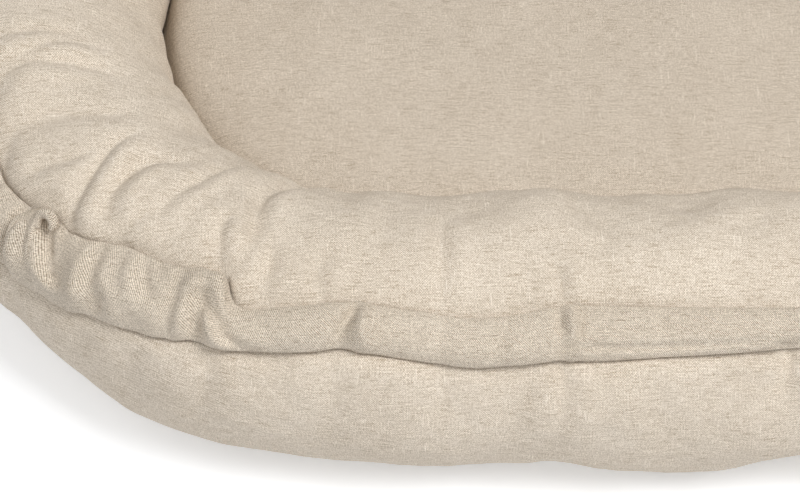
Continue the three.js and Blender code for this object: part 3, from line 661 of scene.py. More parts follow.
def weave_group():
    """Plain weave of uneven linen threads: tone around 0.5, with painted shade and light on the thread
    crossings, dark and light flecks, and thread height.
    """
    numbers = [("Threads", 1700.0), ("Weave", 0.3), ("Uneven", 1.0), ("Flecks", 1.0)]
    inputs = [("Cloth", "NodeSocketVector", None)]
    inputs += [(name, "NodeSocketFloat", value) for name, value in numbers]
    tree = group_tree("linen_weave", inputs, [("Tone", "NodeSocketFloat"), ("Height", "NodeSocketFloat")])
    n = Nodes(tree)
    start, end = tree.nodes.new("NodeGroupInput"), tree.nodes.new("NodeGroupOutput")
    cloth = start.outputs["Cloth"]
    wander = n.add("TexNoise", {"Vector": cloth, "Scale": 60.0, "Detail": 2.0})
    drift = n.vector("SUBTRACT", wander.outputs["Color"], (0.5, 0.5, 0.5))
    drift = n.vector("MULTIPLY", drift, (0.0016, 0.0016, 0.0))
    scale = n.add("VectorMath", {0: n.vector("ADD", cloth, drift)}, operation="SCALE")
    n.put(scale.inputs["Scale"], start.outputs["Threads"])
    threads = scale.outputs[0]
    axes = n.add("SeparateXYZ", {0: threads})
    wave_u = n.math("SINE", n.math("MULTIPLY", axes.outputs[0], math.pi))
    wave_v = n.math("SINE", n.math("MULTIPLY", axes.outputs[1], math.pi))
    over = n.math("MULTIPLY", wave_u, wave_v)
    bumps_up = n.math("ABSOLUTE", over)

    def streaks(across, along, detail=2.0, roughness=0.6):
        """Noise drawn out to streaks, by its scale across and along the threads."""
        return n.noise(n.vector("MULTIPLY", threads, (across, along, 1.0)), 1.0, detail, roughness)

    warp, weft = streaks(0.95, 0.13), streaks(0.13, 0.95)
    mixed = n.add("Mix", {0: n.spread(over, -0.4, 0.4), 2: warp, 3: weft}).outputs[0]
    dark = n.spread(streaks(0.06, 0.62), 0.52, 0.78)
    slub = n.spread(streaks(0.62, 0.04, 1.0, 0.5), 0.64, 0.76)
    pale = n.spread(streaks(0.05, 0.6), 0.54, 0.78)
    grain = n.noise(threads, 0.8, 0.0, 0.5)
    patch = n.noise(cloth, 24.0, 3.0, 0.55)
    # Painted shade and light: crossings where one set of threads lies on top are lighter and the others
    # darker, as light falls on them
    tone = n.math("MULTIPLY_ADD", over, start.outputs["Weave"], 0.5)
    uneven = n.math("MULTIPLY_ADD", n.math("SUBTRACT", grain, 0.5), 0.8, n.math("SUBTRACT", mixed, 0.5))
    tone = n.math("MULTIPLY_ADD", uneven, n.math("MULTIPLY", start.outputs["Uneven"], 1.3), tone)
    tone = n.math("MULTIPLY_ADD", n.math("SUBTRACT", patch, 0.5), 0.22, tone)
    light = n.math("MAXIMUM", n.math("MULTIPLY", slub, 0.75), n.math("MULTIPLY", pale, 0.6))
    fleck = n.math("SUBTRACT", light, dark)
    tone = n.math("MULTIPLY_ADD", n.math("MULTIPLY", fleck, start.outputs["Flecks"]), 0.3, tone)
    n.put(end.inputs["Tone"], n.math("ADD", tone, 0.0, clamp=True))
    n.put(end.inputs["Height"], n.math("ADD", bumps_up, n.math("MULTIPLY", slub, 0.8)))
    return tree


WEAVE = weave_group()


def new_material(name):
    """A material with a principled shader, the short calls for its tree, and the shader."""
    material = bpy.data.materials.new(name)
    material.use_nodes = True
    tree = material.node_tree
    tree.nodes.clear()
    n = Nodes(tree)
    shader = n.add("BsdfPrincipled")
    n.put(n.add("OutputMaterial").inputs[0], shader.outputs[0])
    return material, n, shader


def from_screen(*levels):
    """A colour written in screen levels of 0 to 255, as the shader wants it."""
    return tuple(((v / 255 + 0.055) / 1.055) ** 2.4 for v in levels) + (1.0,)


def tint(n, shader, tone, dark, light):
    """Colours the shader between a dark and a light screen colour, by a tone of 0 to 1."""
    colour = n.add("Mix", data_type="RGBA")
    n.put(colour.inputs[0], tone)
    colour.inputs[6].default_value = from_screen(*dark)
    colour.inputs[7].default_value = from_screen(*light)
    n.put(shader.inputs["Base Color"], colour.outputs[2])


def emboss(n, shader, height, strength, distance):
    """Gives the shader a fine relief, up to distance metres high."""
    bump = n.add("Bump", {"Height": height, "Strength": strength, "Distance": distance})
    n.put(shader.inputs["Normal"], bump.outputs[0])


def linen(name, dark, light, threads=1700.0, weave=0.3, uneven=1.0, flecks=1.0, bump=0.00016):
    """Matt slubbed linen on the piece's flat cloth, between a dark and a light thread colour, with weave as
    the strength of the shade and light painted on its thread crossings.
    """
    material, n, shader = new_material(name)
    flat = n.add("UVMap", uv_map="flat_cloth").outputs[0]
    cloth = n.add("Group", node_tree=WEAVE)
    n.put(cloth.inputs["Cloth"], flat)
    for socket, value in (("Threads", threads), ("Weave", weave), ("Uneven", uneven), ("Flecks", flecks)):
        cloth.inputs[socket].default_value = value
    tint(n, shader, cloth.outputs["Tone"], dark, light)
    n.put(shader.inputs["Roughness"], n.spread(cloth.outputs["Tone"], 0, 1, 0.96, 0.84))
    emboss(n, shader, cloth.outputs["Height"], 0.6, bump)
    shader.inputs["Sheen Weight"].default_value = 0.04
    shader.inputs["Sheen Roughness"].default_value = 0.6
    shader.inputs["Specular IOR Level"].default_value = 0.2
    return material


# weave: how strongly shade and light are painted on each linen's thread crossings
cover_linen = linen("cover_linen", (170, 152, 128), (254, 243, 228), weave=0.36, uneven=0.92, flecks=1.3)
casing_linen = linen("casing_linen", (140, 123, 101), (253, 241, 224), threads=1850.0, weave=0.56)
mattress_linen = linen(
    "mattress_linen", (168, 152, 132), (234, 222, 206), weave=0.17, uneven=0.95, flecks=1.3)
base_cloth = linen(
    "base_cloth", (178, 164, 144), (240, 230, 212), threads=1500.0, weave=0.2, uneven=0.6, flecks=0.5)


def stuff(name, dark, light, grain, roughness, relief, fine, metal=0.0):
    """A plain finish on Object coordinates, its colour and roughness uneven over grain metres."""
    material, n, shader = new_material(name)
    where = n.add("TexCoord").outputs["Object"]
    coarse = n.noise(where, 1 / grain, 4.0, 0.6)
    tint(n, shader, n.spread(coarse, 0.3, 0.7), dark, light)
    n.put(shader.inputs["Roughness"], n.spread(coarse, 0.3, 0.7, roughness + 0.08, roughness - 0.08))
    shader.inputs["Metallic"].default_value = metal
    emboss(n, shader, n.noise(where, 1 / fine, 2.0, 0.5), 0.6, relief)
    return material


def woven_tape(name, dark, light):
    """Close-woven tape: fine ribs across and along, with painted shade and light on the thread crossings, on
    Object coordinates.
    """
    material, n, shader = new_material(name)
    weave = n.add("Group", node_tree=WEAVE)
    n.put(weave.inputs["Cloth"], n.add("TexCoord").outputs["Object"])
    weave.inputs["Threads"].default_value = 3200.0
    # Painted shade and light on the tape's thread crossings
    weave.inputs["Weave"].default_value = 0.5
    weave.inputs["Flecks"].default_value = 0.2
    tint(n, shader, weave.outputs["Tone"], dark, light)
    shader.inputs["Roughness"].default_value = 0.8
    emboss(n, shader, weave.outputs["Height"], 0.5, 0.00008)
    return material


filling_fibre = stuff("filling_fibre", (236, 233, 225), (250, 249, 245), 0.004, 0.92, 0.0006, 0.0008)
mattress_foam = stuff("mattress_foam", (232, 222, 196), (244, 236, 214), 0.003, 0.9, 0.0003, 0.0007)
cord_cotton = stuff("cord_cotton", (218, 208, 188), (240, 233, 216), 0.0012, 0.88, 0.0001, 0.0004)
zip_tape = woven_tape("zip_tape", (176, 164, 142), (212, 200, 178))
zip_teeth = stuff("zip_teeth", (180, 167, 143), (192, 180, 157), 0.006, 0.4, 0.00002, 0.0005)
zip_metal = stuff("zip_metal", (150, 148, 142), (172, 170, 164), 0.0025, 0.34, 0.00001, 0.0003, metal=1.0)
eyelet_brass = stuff("eyelet_brass", (150, 122, 74), (190, 160, 104), 0.002, 0.36, 0.00001, 0.0003, metal=1.0)

# The looks of the frame's own solids
NODE_MATERIALS = {
    cover_linen: [
        "bolster_sleeve_upper", "bolster_sleeve_lower", "bolster_end_cap_left", "bolster_end_cap_right"],
    mattress_linen: ["sleeping_panel"],
    casing_linen: ["drawcord_casing"],
    base_cloth: ["base_panel"],
    filling_fibre: ["bolster_filling", "mattress_wadding"],
    mattress_foam: ["mattress_core"],
    cord_cotton: ["drawcord"],
    zip_tape: ["zip_tape_head", "zip_tape_foot"],
    zip_teeth: ["zip_teeth_head", "zip_teeth_foot"],
    zip_metal: ["zip_slider", "zip_pull", "zip_top_stop_head", "zip_top_stop_foot", "zip_bottom_stop"],
    eyelet_brass: ["eyelet_left", "eyelet_right", "eyelet_washer_left", "eyelet_washer_right"],
}
for material, names in NODE_MATERIALS.items():
    for name in names:
        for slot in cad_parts[name].material_slots:
            slot.material = material


# Bolster cover, over its stuffing: its places round the section, under it and along the ring
SECTION = np.concatenate([
    np.arange(-60, -30, 5.0), np.arange(-30, 134, 2.6), np.arange(134, 200, 5.5), np.linspace(200, 240, 6)])
FLOOR_STEPS = 6
WHOLE_SECTION = np.concatenate([SECTION, np.linspace(240, 300, FLOOR_STEPS + 2)[1:-1]])
ring_places = spans([
    (-RING_HALF, 0.0022), (0.026 - RING_HALF, 0.0065), (-0.540, 0.0025), (-0.060, 0.0046), (0.335, 0.0065),
    (RING_HALF - 0.026, 0.0022), (RING_HALF, 0)])

# The cover is drawn in at its ends, by this much and over this length of the ring, and is plain beside them
END_DRAW, END_DRAW_LENGTH, END_PLAIN = 0.0034, 0.0042, 0.020
# It swells beside the casing's two edges, is pressed in below it, and is drawn in by a hair all over
SWELL_ABOVE, SWELL_BELOW, PRESSED, DRAWN = 0.0030, 0.0022, 0.0012, 0.0006
ABOVE_REACH, BELOW_REACH = (-0.001, 0.012, 0.012, 0.06), (-0.002, 0.008, 0.03, 0.09)
COVER_RIPPLES = [(0.0016, 0.085, 3), (0.0007, 0.038, 4)]
# Degrees at which the cover's swelling and its folds begin, are full, begin to fade and have faded
SWELL_DEGREES, FOLD_DEGREES = (-58, -35, 175, 225), (-75, -45, 160, 205)


def rest_shape():
    """The cover before its folds: the bolster's section, gently uneven and swelling out beside the casing."""
    s, degrees = np.meshgrid(ring_places, SECTION, indexing="ij")
    low, high = casing_edge(s, -1), casing_edge(s, 1)
    under = under_casing(degrees, low, high)
    around = degrees * DEGREE / 1000
    fade = window(degrees, *SWELL_DEGREES)
    soft = unevenness(s, around, COVER_RIPPLES)
    over_edge = (degrees - high) * DEGREE / 1000
    below_edge = (low - degrees) * DEGREE / 1000
    pillow = SWELL_ABOVE * window(over_edge, *ABOVE_REACH)
    pillow = pillow + SWELL_BELOW * window(below_edge, *BELOW_REACH)
    lift = pillow * fade + soft * fade * (1 - 0.8 * under) - PRESSED * under
    to_end = RING_HALF - np.abs(s)
    lift = lift * smoothstep(to_end, 0, END_PLAIN) - DRAWN - END_DRAW * np.exp(-to_end / END_DRAW_LENGTH)
    body = section_point(s, degrees, lift)
    share = np.linspace(0, 1, FLOOR_STEPS + 2)[1:-1][None, :, None]
    floor = body[:, -1:, :] * (1 - share) + body[:, :1, :] * share
    return np.concatenate([body, floor], 1), under


# How much wider the upper sleeve's folds are than written, and the small gathers at the cover's ends
UPPER_SOFTNESS = 1.25
GATHER_DEPTH, GATHER_PITCH, GATHER_LENGTH = 0.0015, 0.0095, 0.019
# Fine ripples of the cover (height, wavelength, seed), and its crumpled look within some degrees of the casing
FINE_RIPPLES = [(0.00018, 0.015, 5)]
CRUMPLE_DEPTH, CRUMPLE_WAVE, CRUMPLE_DEGREES = 0.0005, 0.05, 40


def cover_folds(s, degrees, free):
    """How far the cloth is drawn in or puffed out at (s, degrees)."""
    low, high = casing_edge(s, -1), casing_edge(s, 1)
    above = smoothstep(degrees, low + 1, high)
    up_lift, _ = fold_field(s, degrees, upper_folds, UPPER_SOFTNESS)
    down_lift, _ = fold_field(s, degrees, lower_folds)
    under = under_casing(degrees, low, high)
    folds = (up_lift * above + down_lift * (1 - above)) * (1 - under)
    around = degrees * DEGREE / 1000
    near_casing = np.exp(-(((degrees - (low + high) / 2) / CRUMPLE_DEGREES) ** 2))
    crumpled = CRUMPLE_DEPTH * near_casing * crumple(s, around * 0.5, CRUMPLE_WAVE, 6)
    fine = unevenness(s, around, FINE_RIPPLES) + crumpled
    to_end = RING_HALF - np.abs(s)
    gathers = np.sin(around / GATHER_PITCH * 2 * math.pi + 2.4 * np.sin(around / 0.0061))
    gathers = GATHER_DEPTH * gathers * np.exp(-to_end / GATHER_LENGTH) * smoothstep(to_end, 0, 0.005) * free
    fade = window(degrees, *FOLD_DEGREES)
    ends = smoothstep(to_end, 0, END_PLAIN)
    fine = fine * (1 - 0.8 * under) + bumps(s, degrees, shown_swells) * (1 - under)
    return (folds + fine) * fade * ends * free + gathers * (1 - under)


# How firmly the cover is held: anywhere, and under the casing; it is fixed at the base and at its ends
HELD, HELD_UNDER_CASING = 0.04, 0.85


def cover_piece():
    """The cover with its stuffing: settled as cloth, then folded."""
    points, under = rest_shape()
    columns = points.shape[1]
    degrees = np.concatenate([WHOLE_SECTION, [300.0]])
    centre, out, _ = ring_at(ring_places)
    seam_column = np.searchsorted(SECTION, CASING_ANGLE)
    run = distance_along(section_point(ring_places, np.full(len(ring_places), 15.0), 0.0))

    def uvs(i, j, di, dj):
        column = j + dj
        around = (degrees[column] - 90) * DEGREE / 1000
        upper = centre[i + di] - out[i + di] * around[:, None]
        lower = np.stack([run[i + di], around], 1)
        return np.where((j >= seam_column)[:, None], upper, lower)

    piece = grid_mesh("bolster_cover", points, uvs, caps=True)
    rows = len(ring_places)
    extra = len(piece.data.vertices) - rows * columns
    angle = degrees[:-1]
    s = ring_places[:, None]
    held = HELD + 0 * s + 0 * angle
    held = np.maximum(held, np.concatenate([HELD_UNDER_CASING * under, np.zeros((rows, FLOOR_STEPS))], 1))
    held = np.maximum(held, np.where((angle >= 232) | (angle <= -54), 1.0, 0.0)[None, :] + 0 * s)
    held = np.maximum(held, np.where(np.abs(s) > RING_HALF - 0.004, 1.0, 0) + 0 * angle)
    curved = bent(s) * (1 - smoothstep(np.abs(s), RING_HALF - 0.06, RING_HALF - 0.02))
    slack = (0.25 + 0.75 * curved) * np.exp(-((angle[None, :] - casing_middle(s)) / 42) ** 2)
    slack = slack * (1 - 0.7 * held)
    # What each point is on the sheet, so that the folds find their places after the cloth has settled
    fields = {
        "ring": s + 0 * angle,
        "turn": np.minimum(angle, 240.0) + 0 * s,
        "free": np.where(angle <= 240, 1.0, 0.0) + 0 * s,
    }
    for name, values in fields.items():
        values = np.concatenate([values.ravel(), np.zeros(extra)])
        piece.data.attributes.new(name, "FLOAT", "POINT").data.foreach_set("value", values)
    settle(
        piece,
        np.concatenate([held.ravel(), np.ones(extra)]),
        np.concatenate([slack.ravel(), np.zeros(extra)]),
        growth=0.10, frames=14, pressure=1.4, stiffness=14, bending=0.05, cap=0.0032,
    )
    apply_modifier(piece, "SUBSURF", levels=1, render_levels=1)
    count = len(piece.data.vertices)
    for name in fields:
        fields[name] = np.empty(count)
        piece.data.attributes[name].data.foreach_get("value", fields[name])
        piece.data.attributes.remove(piece.data.attributes[name])
    normals = np.empty(count * 3)
    piece.data.vertex_normals.foreach_get("vector", normals)
    folds = cover_folds(fields["ring"], fields["turn"], fields["free"])
    co = coordinates(piece) + normals.reshape(-1, 3) * folds[:, None]
    co[:, 2] = np.maximum(co[:, 2], SEAT_HEIGHT)
    set_coordinates(piece, tuck(co))
    dress(piece, cover_linen, rounded=False)
    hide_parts("bolster_sleeve_upper", "bolster_sleeve_lower", "bolster_filling")
    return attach(piece, "lounger")


# Drawcord casing: its places across its face and its back, from -1 at the lower edge to 1 at the upper one
FACE = np.linspace(-1, 1, 19)
BACK = np.linspace(1, -1, 8)[1:-1]
# How far its cloth stands off the bolster: at its lower and upper edge, more between them, and at least; more
# over the cord
LOWER_EDGE_LIFT, UPPER_EDGE_LIFT, PUFF_LIFT = 0.0019, 0.0010, CASING_LIFT - 0.0024
LEAST_LIFT, CORD_ROOM = 0.0011, 0.0031
# Its folds narrow it, within these shares of its width, and begin this far from its plain ends
PINCH, NARROWEST, WIDEST = 14, 0.94, 1.04
PLAIN_END, FOLDS_FROM = 0.034, 0.060
EDGE_SWAY, EDGE_WAVE = 0.0014, 0.045
BAND_RIPPLES = [(0.0005, 0.028, 8)]
BAND_CRUMPLE_DEPTH, BAND_CRUMPLE_WAVE = 0.0008, 0.042
# The cloth laid flat is longer and wider than the casing, and a little aslant
FLAT_LENGTH, FLAT_WIDTH, FLAT_SLANT = 1.06, 1.15, 0.18


def casing_piece():
    """The flat, gathered tube of cloth on the shoulder, with its folds."""
    rows_at = spans([
        (-RING_HALF, 0.0032), (-0.700, 0.0042), (-0.530, 0.0022), (0.335, 0.0042), (0.700, 0.0032),
        (RING_HALF, 0)])
    s, t = np.meshgrid(rows_at, np.concatenate([FACE, BACK]), indexing="ij")
    middle, half = casing_middle(s), casing_half(s)
    is_back = np.arange(s.shape[1])[None, :] >= len(FACE)
    degrees = middle + t * np.degrees(half / MEAN_RADIUS)
    fold, lean = fold_field(s, degrees, casing_folds)
    fold = fold + bumps(s, degrees, shown_lumps)
    drawn = fold_field(rows_at, middle[:, 0], casing_folds)[0]
    pinch = np.clip(1 + PINCH * drawn, NARROWEST, WIDEST)[:, None]
    degrees = middle + t * np.degrees(half * pinch / MEAN_RADIUS)
    puff = np.where(t < 0, 1 - np.abs(t) ** 2.8, 1 - np.abs(t) ** 2.4)
    plain = CLEARANCE + (CASING_LIFT - CLEARANCE) * smoothstep(1 - np.abs(t), 0, 0.54)
    face = np.where(t < 0, LOWER_EDGE_LIFT, UPPER_EDGE_LIFT) + PUFF_LIFT * puff
    around = degrees * DEGREE / 1000
    crumpled = BAND_CRUMPLE_DEPTH * crumple(s, around * 0.7, BAND_CRUMPLE_WAVE, 9)
    uneven = unevenness(s, around, BAND_RIPPLES) + crumpled
    curved = bent(s)
    free = smoothstep(RING_HALF - np.abs(s), PLAIN_END, FOLDS_FROM)
    moving = (fold + uneven * (0.5 + curved)) * free
    face = face * free + plain * (1 - free)
    least = LEAST_LIFT + CORD_ROOM * (1 - smoothstep(np.abs(t) * half, 0.002, 0.005))
    face = np.maximum(face + moving * (0.25 + 0.75 * puff), least)
    edge_sway = EDGE_SWAY * ripple(s, 0 * s, EDGE_WAVE, 12) * free * curved
    lift = np.where(is_back, CLEARANCE, face)
    degrees = degrees + np.degrees(edge_sway / MEAN_RADIUS)
    points = section_point(s, degrees, lift, lean * free * puff * ~is_back)
    run = distance_along(section_point(rows_at, casing_middle(rows_at), 0.006))
    t_flat = np.concatenate([FACE, BACK, [-1.0]])

    def uvs(i, j, di, dj):
        across = t_flat[j + dj] * casing_half(rows_at[i + di]) * FLAT_WIDTH + np.where(j >= len(FACE), 0.1, 0)
        return np.stack([run[i + di] * FLAT_LENGTH + FLAT_SLANT * across, across], 1)

    piece = grid_mesh("casing_band", points, uvs, caps=True)
    dress(piece, casing_linen)
    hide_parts("drawcord_casing")
    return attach(piece, "lounger")


# The hook of cloth at the picture's left edge: the casing folded over itself, and the curl at its top.
# Places are (distance in mm, degrees), from the casing's upper edge downwards.
TONGUE_LEFT = [
    (-166.5, 50.5), (-161.5, 45.4), (-158.3, 39.4), (-158.8, 33.0), (-161.2, 25.0), (-165.0, 17.5)]
TONGUE_RIGHT = [
    (-168.5, 51.5), (-170.2, 47.5), (-172.2, 43.0), (-175.4, 37.5), (-180.0, 31.0), (-179.0, 21.5)]
# The tongue's height over its width, in mm, and the curl's line and radii, in mm
TONGUE_RISE = [(0, 0.0), (0.07, 2.2), (0.30, 1.5), (0.62, 1.6), (0.86, 2.9), (0.96, 2.2), (1, 0.0)]
CURL = [
    (-171.0, 44.5), (-169.4, 47.0), (-169.2, 49.2), (-171.2, 51.2), (-174.2, 51.4), (-176.6, 49.6),
    (-176.0, 47.4)]
CURL_RADII = (1.4, 1.9, 2.3, 2.7, 2.8, 2.4, 1.4)
TONGUE_FACE, TONGUE_BACK = 19, 7
# Where the tongue lies above the bolster: its back, its edges, and how much more between them
TONGUE_BACK_LIFT, TONGUE_EDGE_LIFT, TONGUE_MORE = 0.0030, 0.0036, 0.0034
TONGUE_FADES_FROM, TONGUE_SIDE_SHARE = 0.72, 0.10
# Where the curl's middle lies, how much higher its top is, and how much taller it is than wide
CURL_LIFT, CURL_ARCH, CURL_TALLER = 0.0070, 0.0012, 1.25
# Twelve directions round a cord or a curl
ROUND = np.linspace(0, 2 * math.pi, 13)[:-1]


def fold_piece(name, points, steps):
    """A closed fold of the casing's cloth from a grid of points [along, around], steps metres apart."""

    def uvs(i, j, di, dj):
        return np.stack([(i + di) * steps[0], (j + dj) * steps[1]], 1)

    piece = grid_mesh(name, points, uvs, caps=True)
    face_outward(piece)
    dress(piece, casing_linen)
    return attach(piece, "lounger")


def casing_tongue():
    """The flat part of the hook, lying on the casing."""
    left, right = (fold_line(edge, 26) for edge in (TONGUE_LEFT, TONGUE_RIGHT))
    share = np.concatenate([np.linspace(0, 1, TONGUE_FACE), np.linspace(1, 0, TONGUE_BACK)[1:-1]])
    is_back = (np.arange(len(share)) >= TONGUE_FACE)[None, :]
    place = left[:, None, :] + (right - left)[:, None, :] * share[None, :, None]
    rise = np.maximum(spline(TONGUE_RISE, share), 0)[None, :] / 1000
    fading = 1 - smoothstep(np.linspace(0, 1, len(left)), TONGUE_FADES_FROM, 1.0)[:, None]
    sides = smoothstep(np.minimum(share, 1 - share), 0, TONGUE_SIDE_SHARE)[None, :]
    face = TONGUE_EDGE_LIFT + TONGUE_MORE * sides * fading + rise * fading
    lift = np.where(is_back, TONGUE_BACK_LIFT, face)
    points = section_point(place[..., 0] / 1000, place[..., 1], lift)
    return fold_piece("casing_tongue", points, (0.0018, 0.0009))


def casing_curl():
    """The rolled edge at the hook's top, round its dark hollow."""
    path = fold_line(CURL, 26)
    along = np.linspace(0, 1, len(path))
    radius = np.interp(along, np.linspace(0, 1, len(CURL_RADII)), CURL_RADII)[:, None, None] / 1000
    lift = CURL_LIFT + CURL_ARCH * np.sin(math.pi * along)
    centre = section_point(path[:, 0] / 1000, path[:, 1], lift)
    outward = unit(section_point(path[:, 0] / 1000, path[:, 1], lift + 0.001) - centre)
    across = unit(np.cross(np.gradient(centre, axis=0), outward))
    turn = ROUND[None, :, None]
    rings = outward[:, None] * np.cos(turn) * CURL_TALLER + across[:, None] * np.sin(turn)
    return fold_piece("casing_curl", centre[:, None] + rings * radius, (0.0010, 0.0010))


def mattress_at(s, inset):
    """Places of the ring that is smaller by inset, as the frame's mattress has them."""
    along = RING[0]
    away, side = np.abs(s), np.where(s < 0, -1.0, 1.0)
    foot_start = ARC_STEPS + SIDE_STEPS - 2
    head_end, side_end = along[ARC_STEPS - 1], along[foot_start]
    head_angle = np.interp(away, along[:ARC_STEPS], HEAD_ARC)
    foot_angle = np.interp(away, along[foot_start:], FOOT_ARC)

    def choose(head, straight, foot):
        return np.where(away <= head_end, head, np.where(away <= side_end, straight, foot))

    x = choose(
        HEAD_X - (HEAD_DEPTH - inset) * np.cos(head_angle),
        HEAD_X + away - head_end,
        FOOT_X + (FOOT_DEPTH - inset) * np.cos(foot_angle),
    )
    return x, side * (RING_HALF_WIDTH - inset) * choose(np.sin(head_angle), 1.0, np.sin(foot_angle))


# The panel's rolled edge: (inset from the ring, drop below its crown's edge). Its skirt: (degrees, lift). The
# inner edge of its underside: (inset, height).
PANEL_ROLL = [(0.0865, 0.0005), (0.0825, 0.0018), (0.0785, 0.0036), (0.0745, 0.0062), (0.0715, 0.0105)]
PANEL_SKIRT = [
    (198, 0.0006), (212, 0.0006), (226, 0.0006), (238, 0.0006), (238, 0.0018), (220, 0.0018), (201, 0.0018)]
PANEL_UNDER = [(0.0735, 0.054), (0.080, 0.0605)]
TOP_RINGS, UNDERSIDE_RINGS = 34, 10
# How far its rings go towards the spine, as a share, and how far its underside is above the core
TO_SPINE, ABOVE_CORE = 0.985, 0.002
PANEL_RIPPLES = [(0.0009, 0.09, 21), (0.00035, 0.03, 22)]


def sleeping_surface():
    """The panel over the wadding and the mattress, with the skirt beside the bolster."""
    rows_at = places([(0.310, 0.006), (0.714, 0.0075), (RING_HALF, 0.0065)])
    s = rows_at[:, None]
    shares = np.linspace(TO_SPINE, 0, TOP_RINGS)[None, :]
    edge_x, edge_y = mattress_at(s, CROWN_INSET)
    spine_x = np.clip(edge_x, HEAD_X, FOOT_X)
    top_x, top_y = edge_x + (spine_x - edge_x) * shares, edge_y * (1 - shares)
    crown = 1 - (1 - shares) ** 2.4
    top_z = CROWN_EDGE_HEIGHT + (SPINE_HEIGHT - CROWN_EDGE_HEIGHT) * crown + 0 * s
    rings = [np.stack([top_x, top_y, top_z], -1)]
    for inset, drop in PANEL_ROLL:
        x, y = mattress_at(rows_at, inset)
        rings.append(np.stack([x, y, 0 * x + CROWN_EDGE_HEIGHT - drop], -1)[:, None])
    for degrees, lift in PANEL_SKIRT:
        rings.append(section_point(rows_at, np.full(len(rows_at), float(degrees)), lift)[:, None])
    for inset, height in PANEL_UNDER:
        x, y = mattress_at(rows_at, inset)
        rings.append(np.stack([x, y, 0 * x + height], -1)[:, None])
    under = np.linspace(0, TO_SPINE, UNDERSIDE_RINGS)[None, :]
    low_x, low_y = edge_x + (spine_x - edge_x) * under, edge_y * (1 - under)
    rings.append(np.stack([low_x, low_y, 0 * low_x + CORE_TOP + ABOVE_CORE], -1))
    points = np.concatenate(rings, 1)
    top_rings = TOP_RINGS + len(PANEL_ROLL)
    x, y = points[:, :top_rings, 0], points[:, :top_rings, 1]
    uneven = unevenness(x, y, PANEL_RIPPLES)
    points[:, :top_rings, 2] += uneven * smoothstep(-np.arange(top_rings)[None, :], -top_rings, 8 - top_rings)

    def uvs(i, j, di, dj):
        return points[(i + di) % len(rows_at), j + dj, :2]

    piece = grid_mesh("sleeping_surface", points, uvs, close_across=False, close_along=True)
    close_spine(piece, len(rows_at), points.shape[1])
    dress(piece, mattress_linen)
    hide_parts("sleeping_panel", "mattress_wadding")
    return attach(piece, "lounger")


def close_spine(piece, rows, columns):
    """Joins the left and right halves of the panel's top and of its underside along the middle."""
    shape = bmesh.new()
    shape.from_mesh(piece.data)
    shape.verts.ensure_lookup_table()
    flat = shape.loops.layers.uv.active
    for column, top in ((0, True), (columns - 1, False)):
        for i in range((rows - 1) // 2):
            row = [i, i + 1, rows - 2 - i, rows - 1 - i]
            ring = list(dict.fromkeys(row if not top else row[::-1]))
            face = shape.faces.new([shape.verts[r * columns + column] for r in ring])
            for loop in face.loops:
                loop[flat].uv = loop.vert.co.xy
    bmesh.ops.recalc_face_normals(shape, faces=shape.faces)
    shape.to_mesh(piece.data)
    shape.free()


# A cap's rings from its seam to its middle, as shares of the bolster's outline, and how far the first three
# stand out from the bolster's end. The others follow a dome that rises from its widest ring.
CAP_SHARES = [
    0.985, 1.0, 1.012, 1.016, 1.01, 0.99, 0.96, 0.92, 0.87, 0.8, 0.72, 0.63, 0.53, 0.42, 0.31, 0.2, 0.1]
CAP_SEAM = (0.0002, 0.0003, 0.0012)
CAP_DOME, CAP_WIDEST, CAP_FOOT = 0.0112, 1.016, 0.0022
CAP_INSIDE = (0.1, 0.55, 0.97)
CAP_SINK = -0.0036
# Gathers at a cap's seam and creases inside it: their number round the cap and their height
CAP_GATHERS, CAP_GATHER_HEIGHT = 19, 0.0012
CAP_CREASES, CAP_CREASE_HEIGHT = 7, 0.0007


def end_cap(side):
    """A domed disc of cloth, eased into the seam round the end of the bolster."""
    name = "left" if side < 0 else "right"
    last = side * RING_HALF
    body = section_point(np.full(len(SECTION), last), SECTION, CAP_SINK)
    share = np.linspace(0, 1, FLOOR_STEPS + 2)[1:-1][:, None]
    outline = np.concatenate([body, body[-1] * (1 - share) + body[0] * share])
    outline[:, 2] = np.maximum(outline[:, 2], SEAT_HEIGHT + 0.0002)
    ends, _, _ = ring_at(np.array([last, last - side * 0.004]))
    away = unit(ends[0] - ends[1])
    middle = np.array([*ends[0], outline[:, 2].mean()])
    turn = np.radians(WHOLE_SECTION)
    outward = np.array([*away, 0])
    rings = [middle + (outline - middle) * share + outward * CAP_SEAM[0] for share in CAP_INSIDE]
    for number, share in enumerate(CAP_SHARES):
        if number < len(CAP_SEAM):
            reach = CAP_SEAM[number]
        else:
            reach = CAP_DOME * (1 - (share / CAP_WIDEST) ** 3) ** 0.6 + CAP_FOOT
        if number > 1:
            eased = CAP_GATHER_HEIGHT * np.sin(CAP_GATHERS * turn + 1.7 * np.sin(3 * turn))
            eased = eased * np.exp(-((share - 0.9) / 0.09) ** 2)
            creased = CAP_CREASE_HEIGHT * np.sin(CAP_CREASES * turn + 4 * share) * share * (1 - share)
            reach = (reach + eased + creased)[:, None]
        rings.append(middle + (outline - middle) * share + outward * reach)
    points = np.stack(rings)

    def uvs(i, j, di, dj):
        at = points[i + di, (j + dj) % len(turn)]
        return np.stack([(at[:, :2] - middle[:2]) @ np.array([-away[1], away[0]]), at[:, 2]], 1)

    piece = grid_mesh(f"end_cap_{name}", points, uvs)
    only(piece)
    bpy.ops.object.mode_set(mode="EDIT")
    bpy.ops.mesh.select_all(action="DESELECT")
    bpy.ops.mesh.select_non_manifold()
    bpy.ops.mesh.edge_face_add()
    bpy.ops.object.mode_set(mode="OBJECT")
    face_outward(piece)
    dress(piece, cover_linen)
    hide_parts(f"bolster_end_cap_{name}")
    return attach(piece, "lounger")


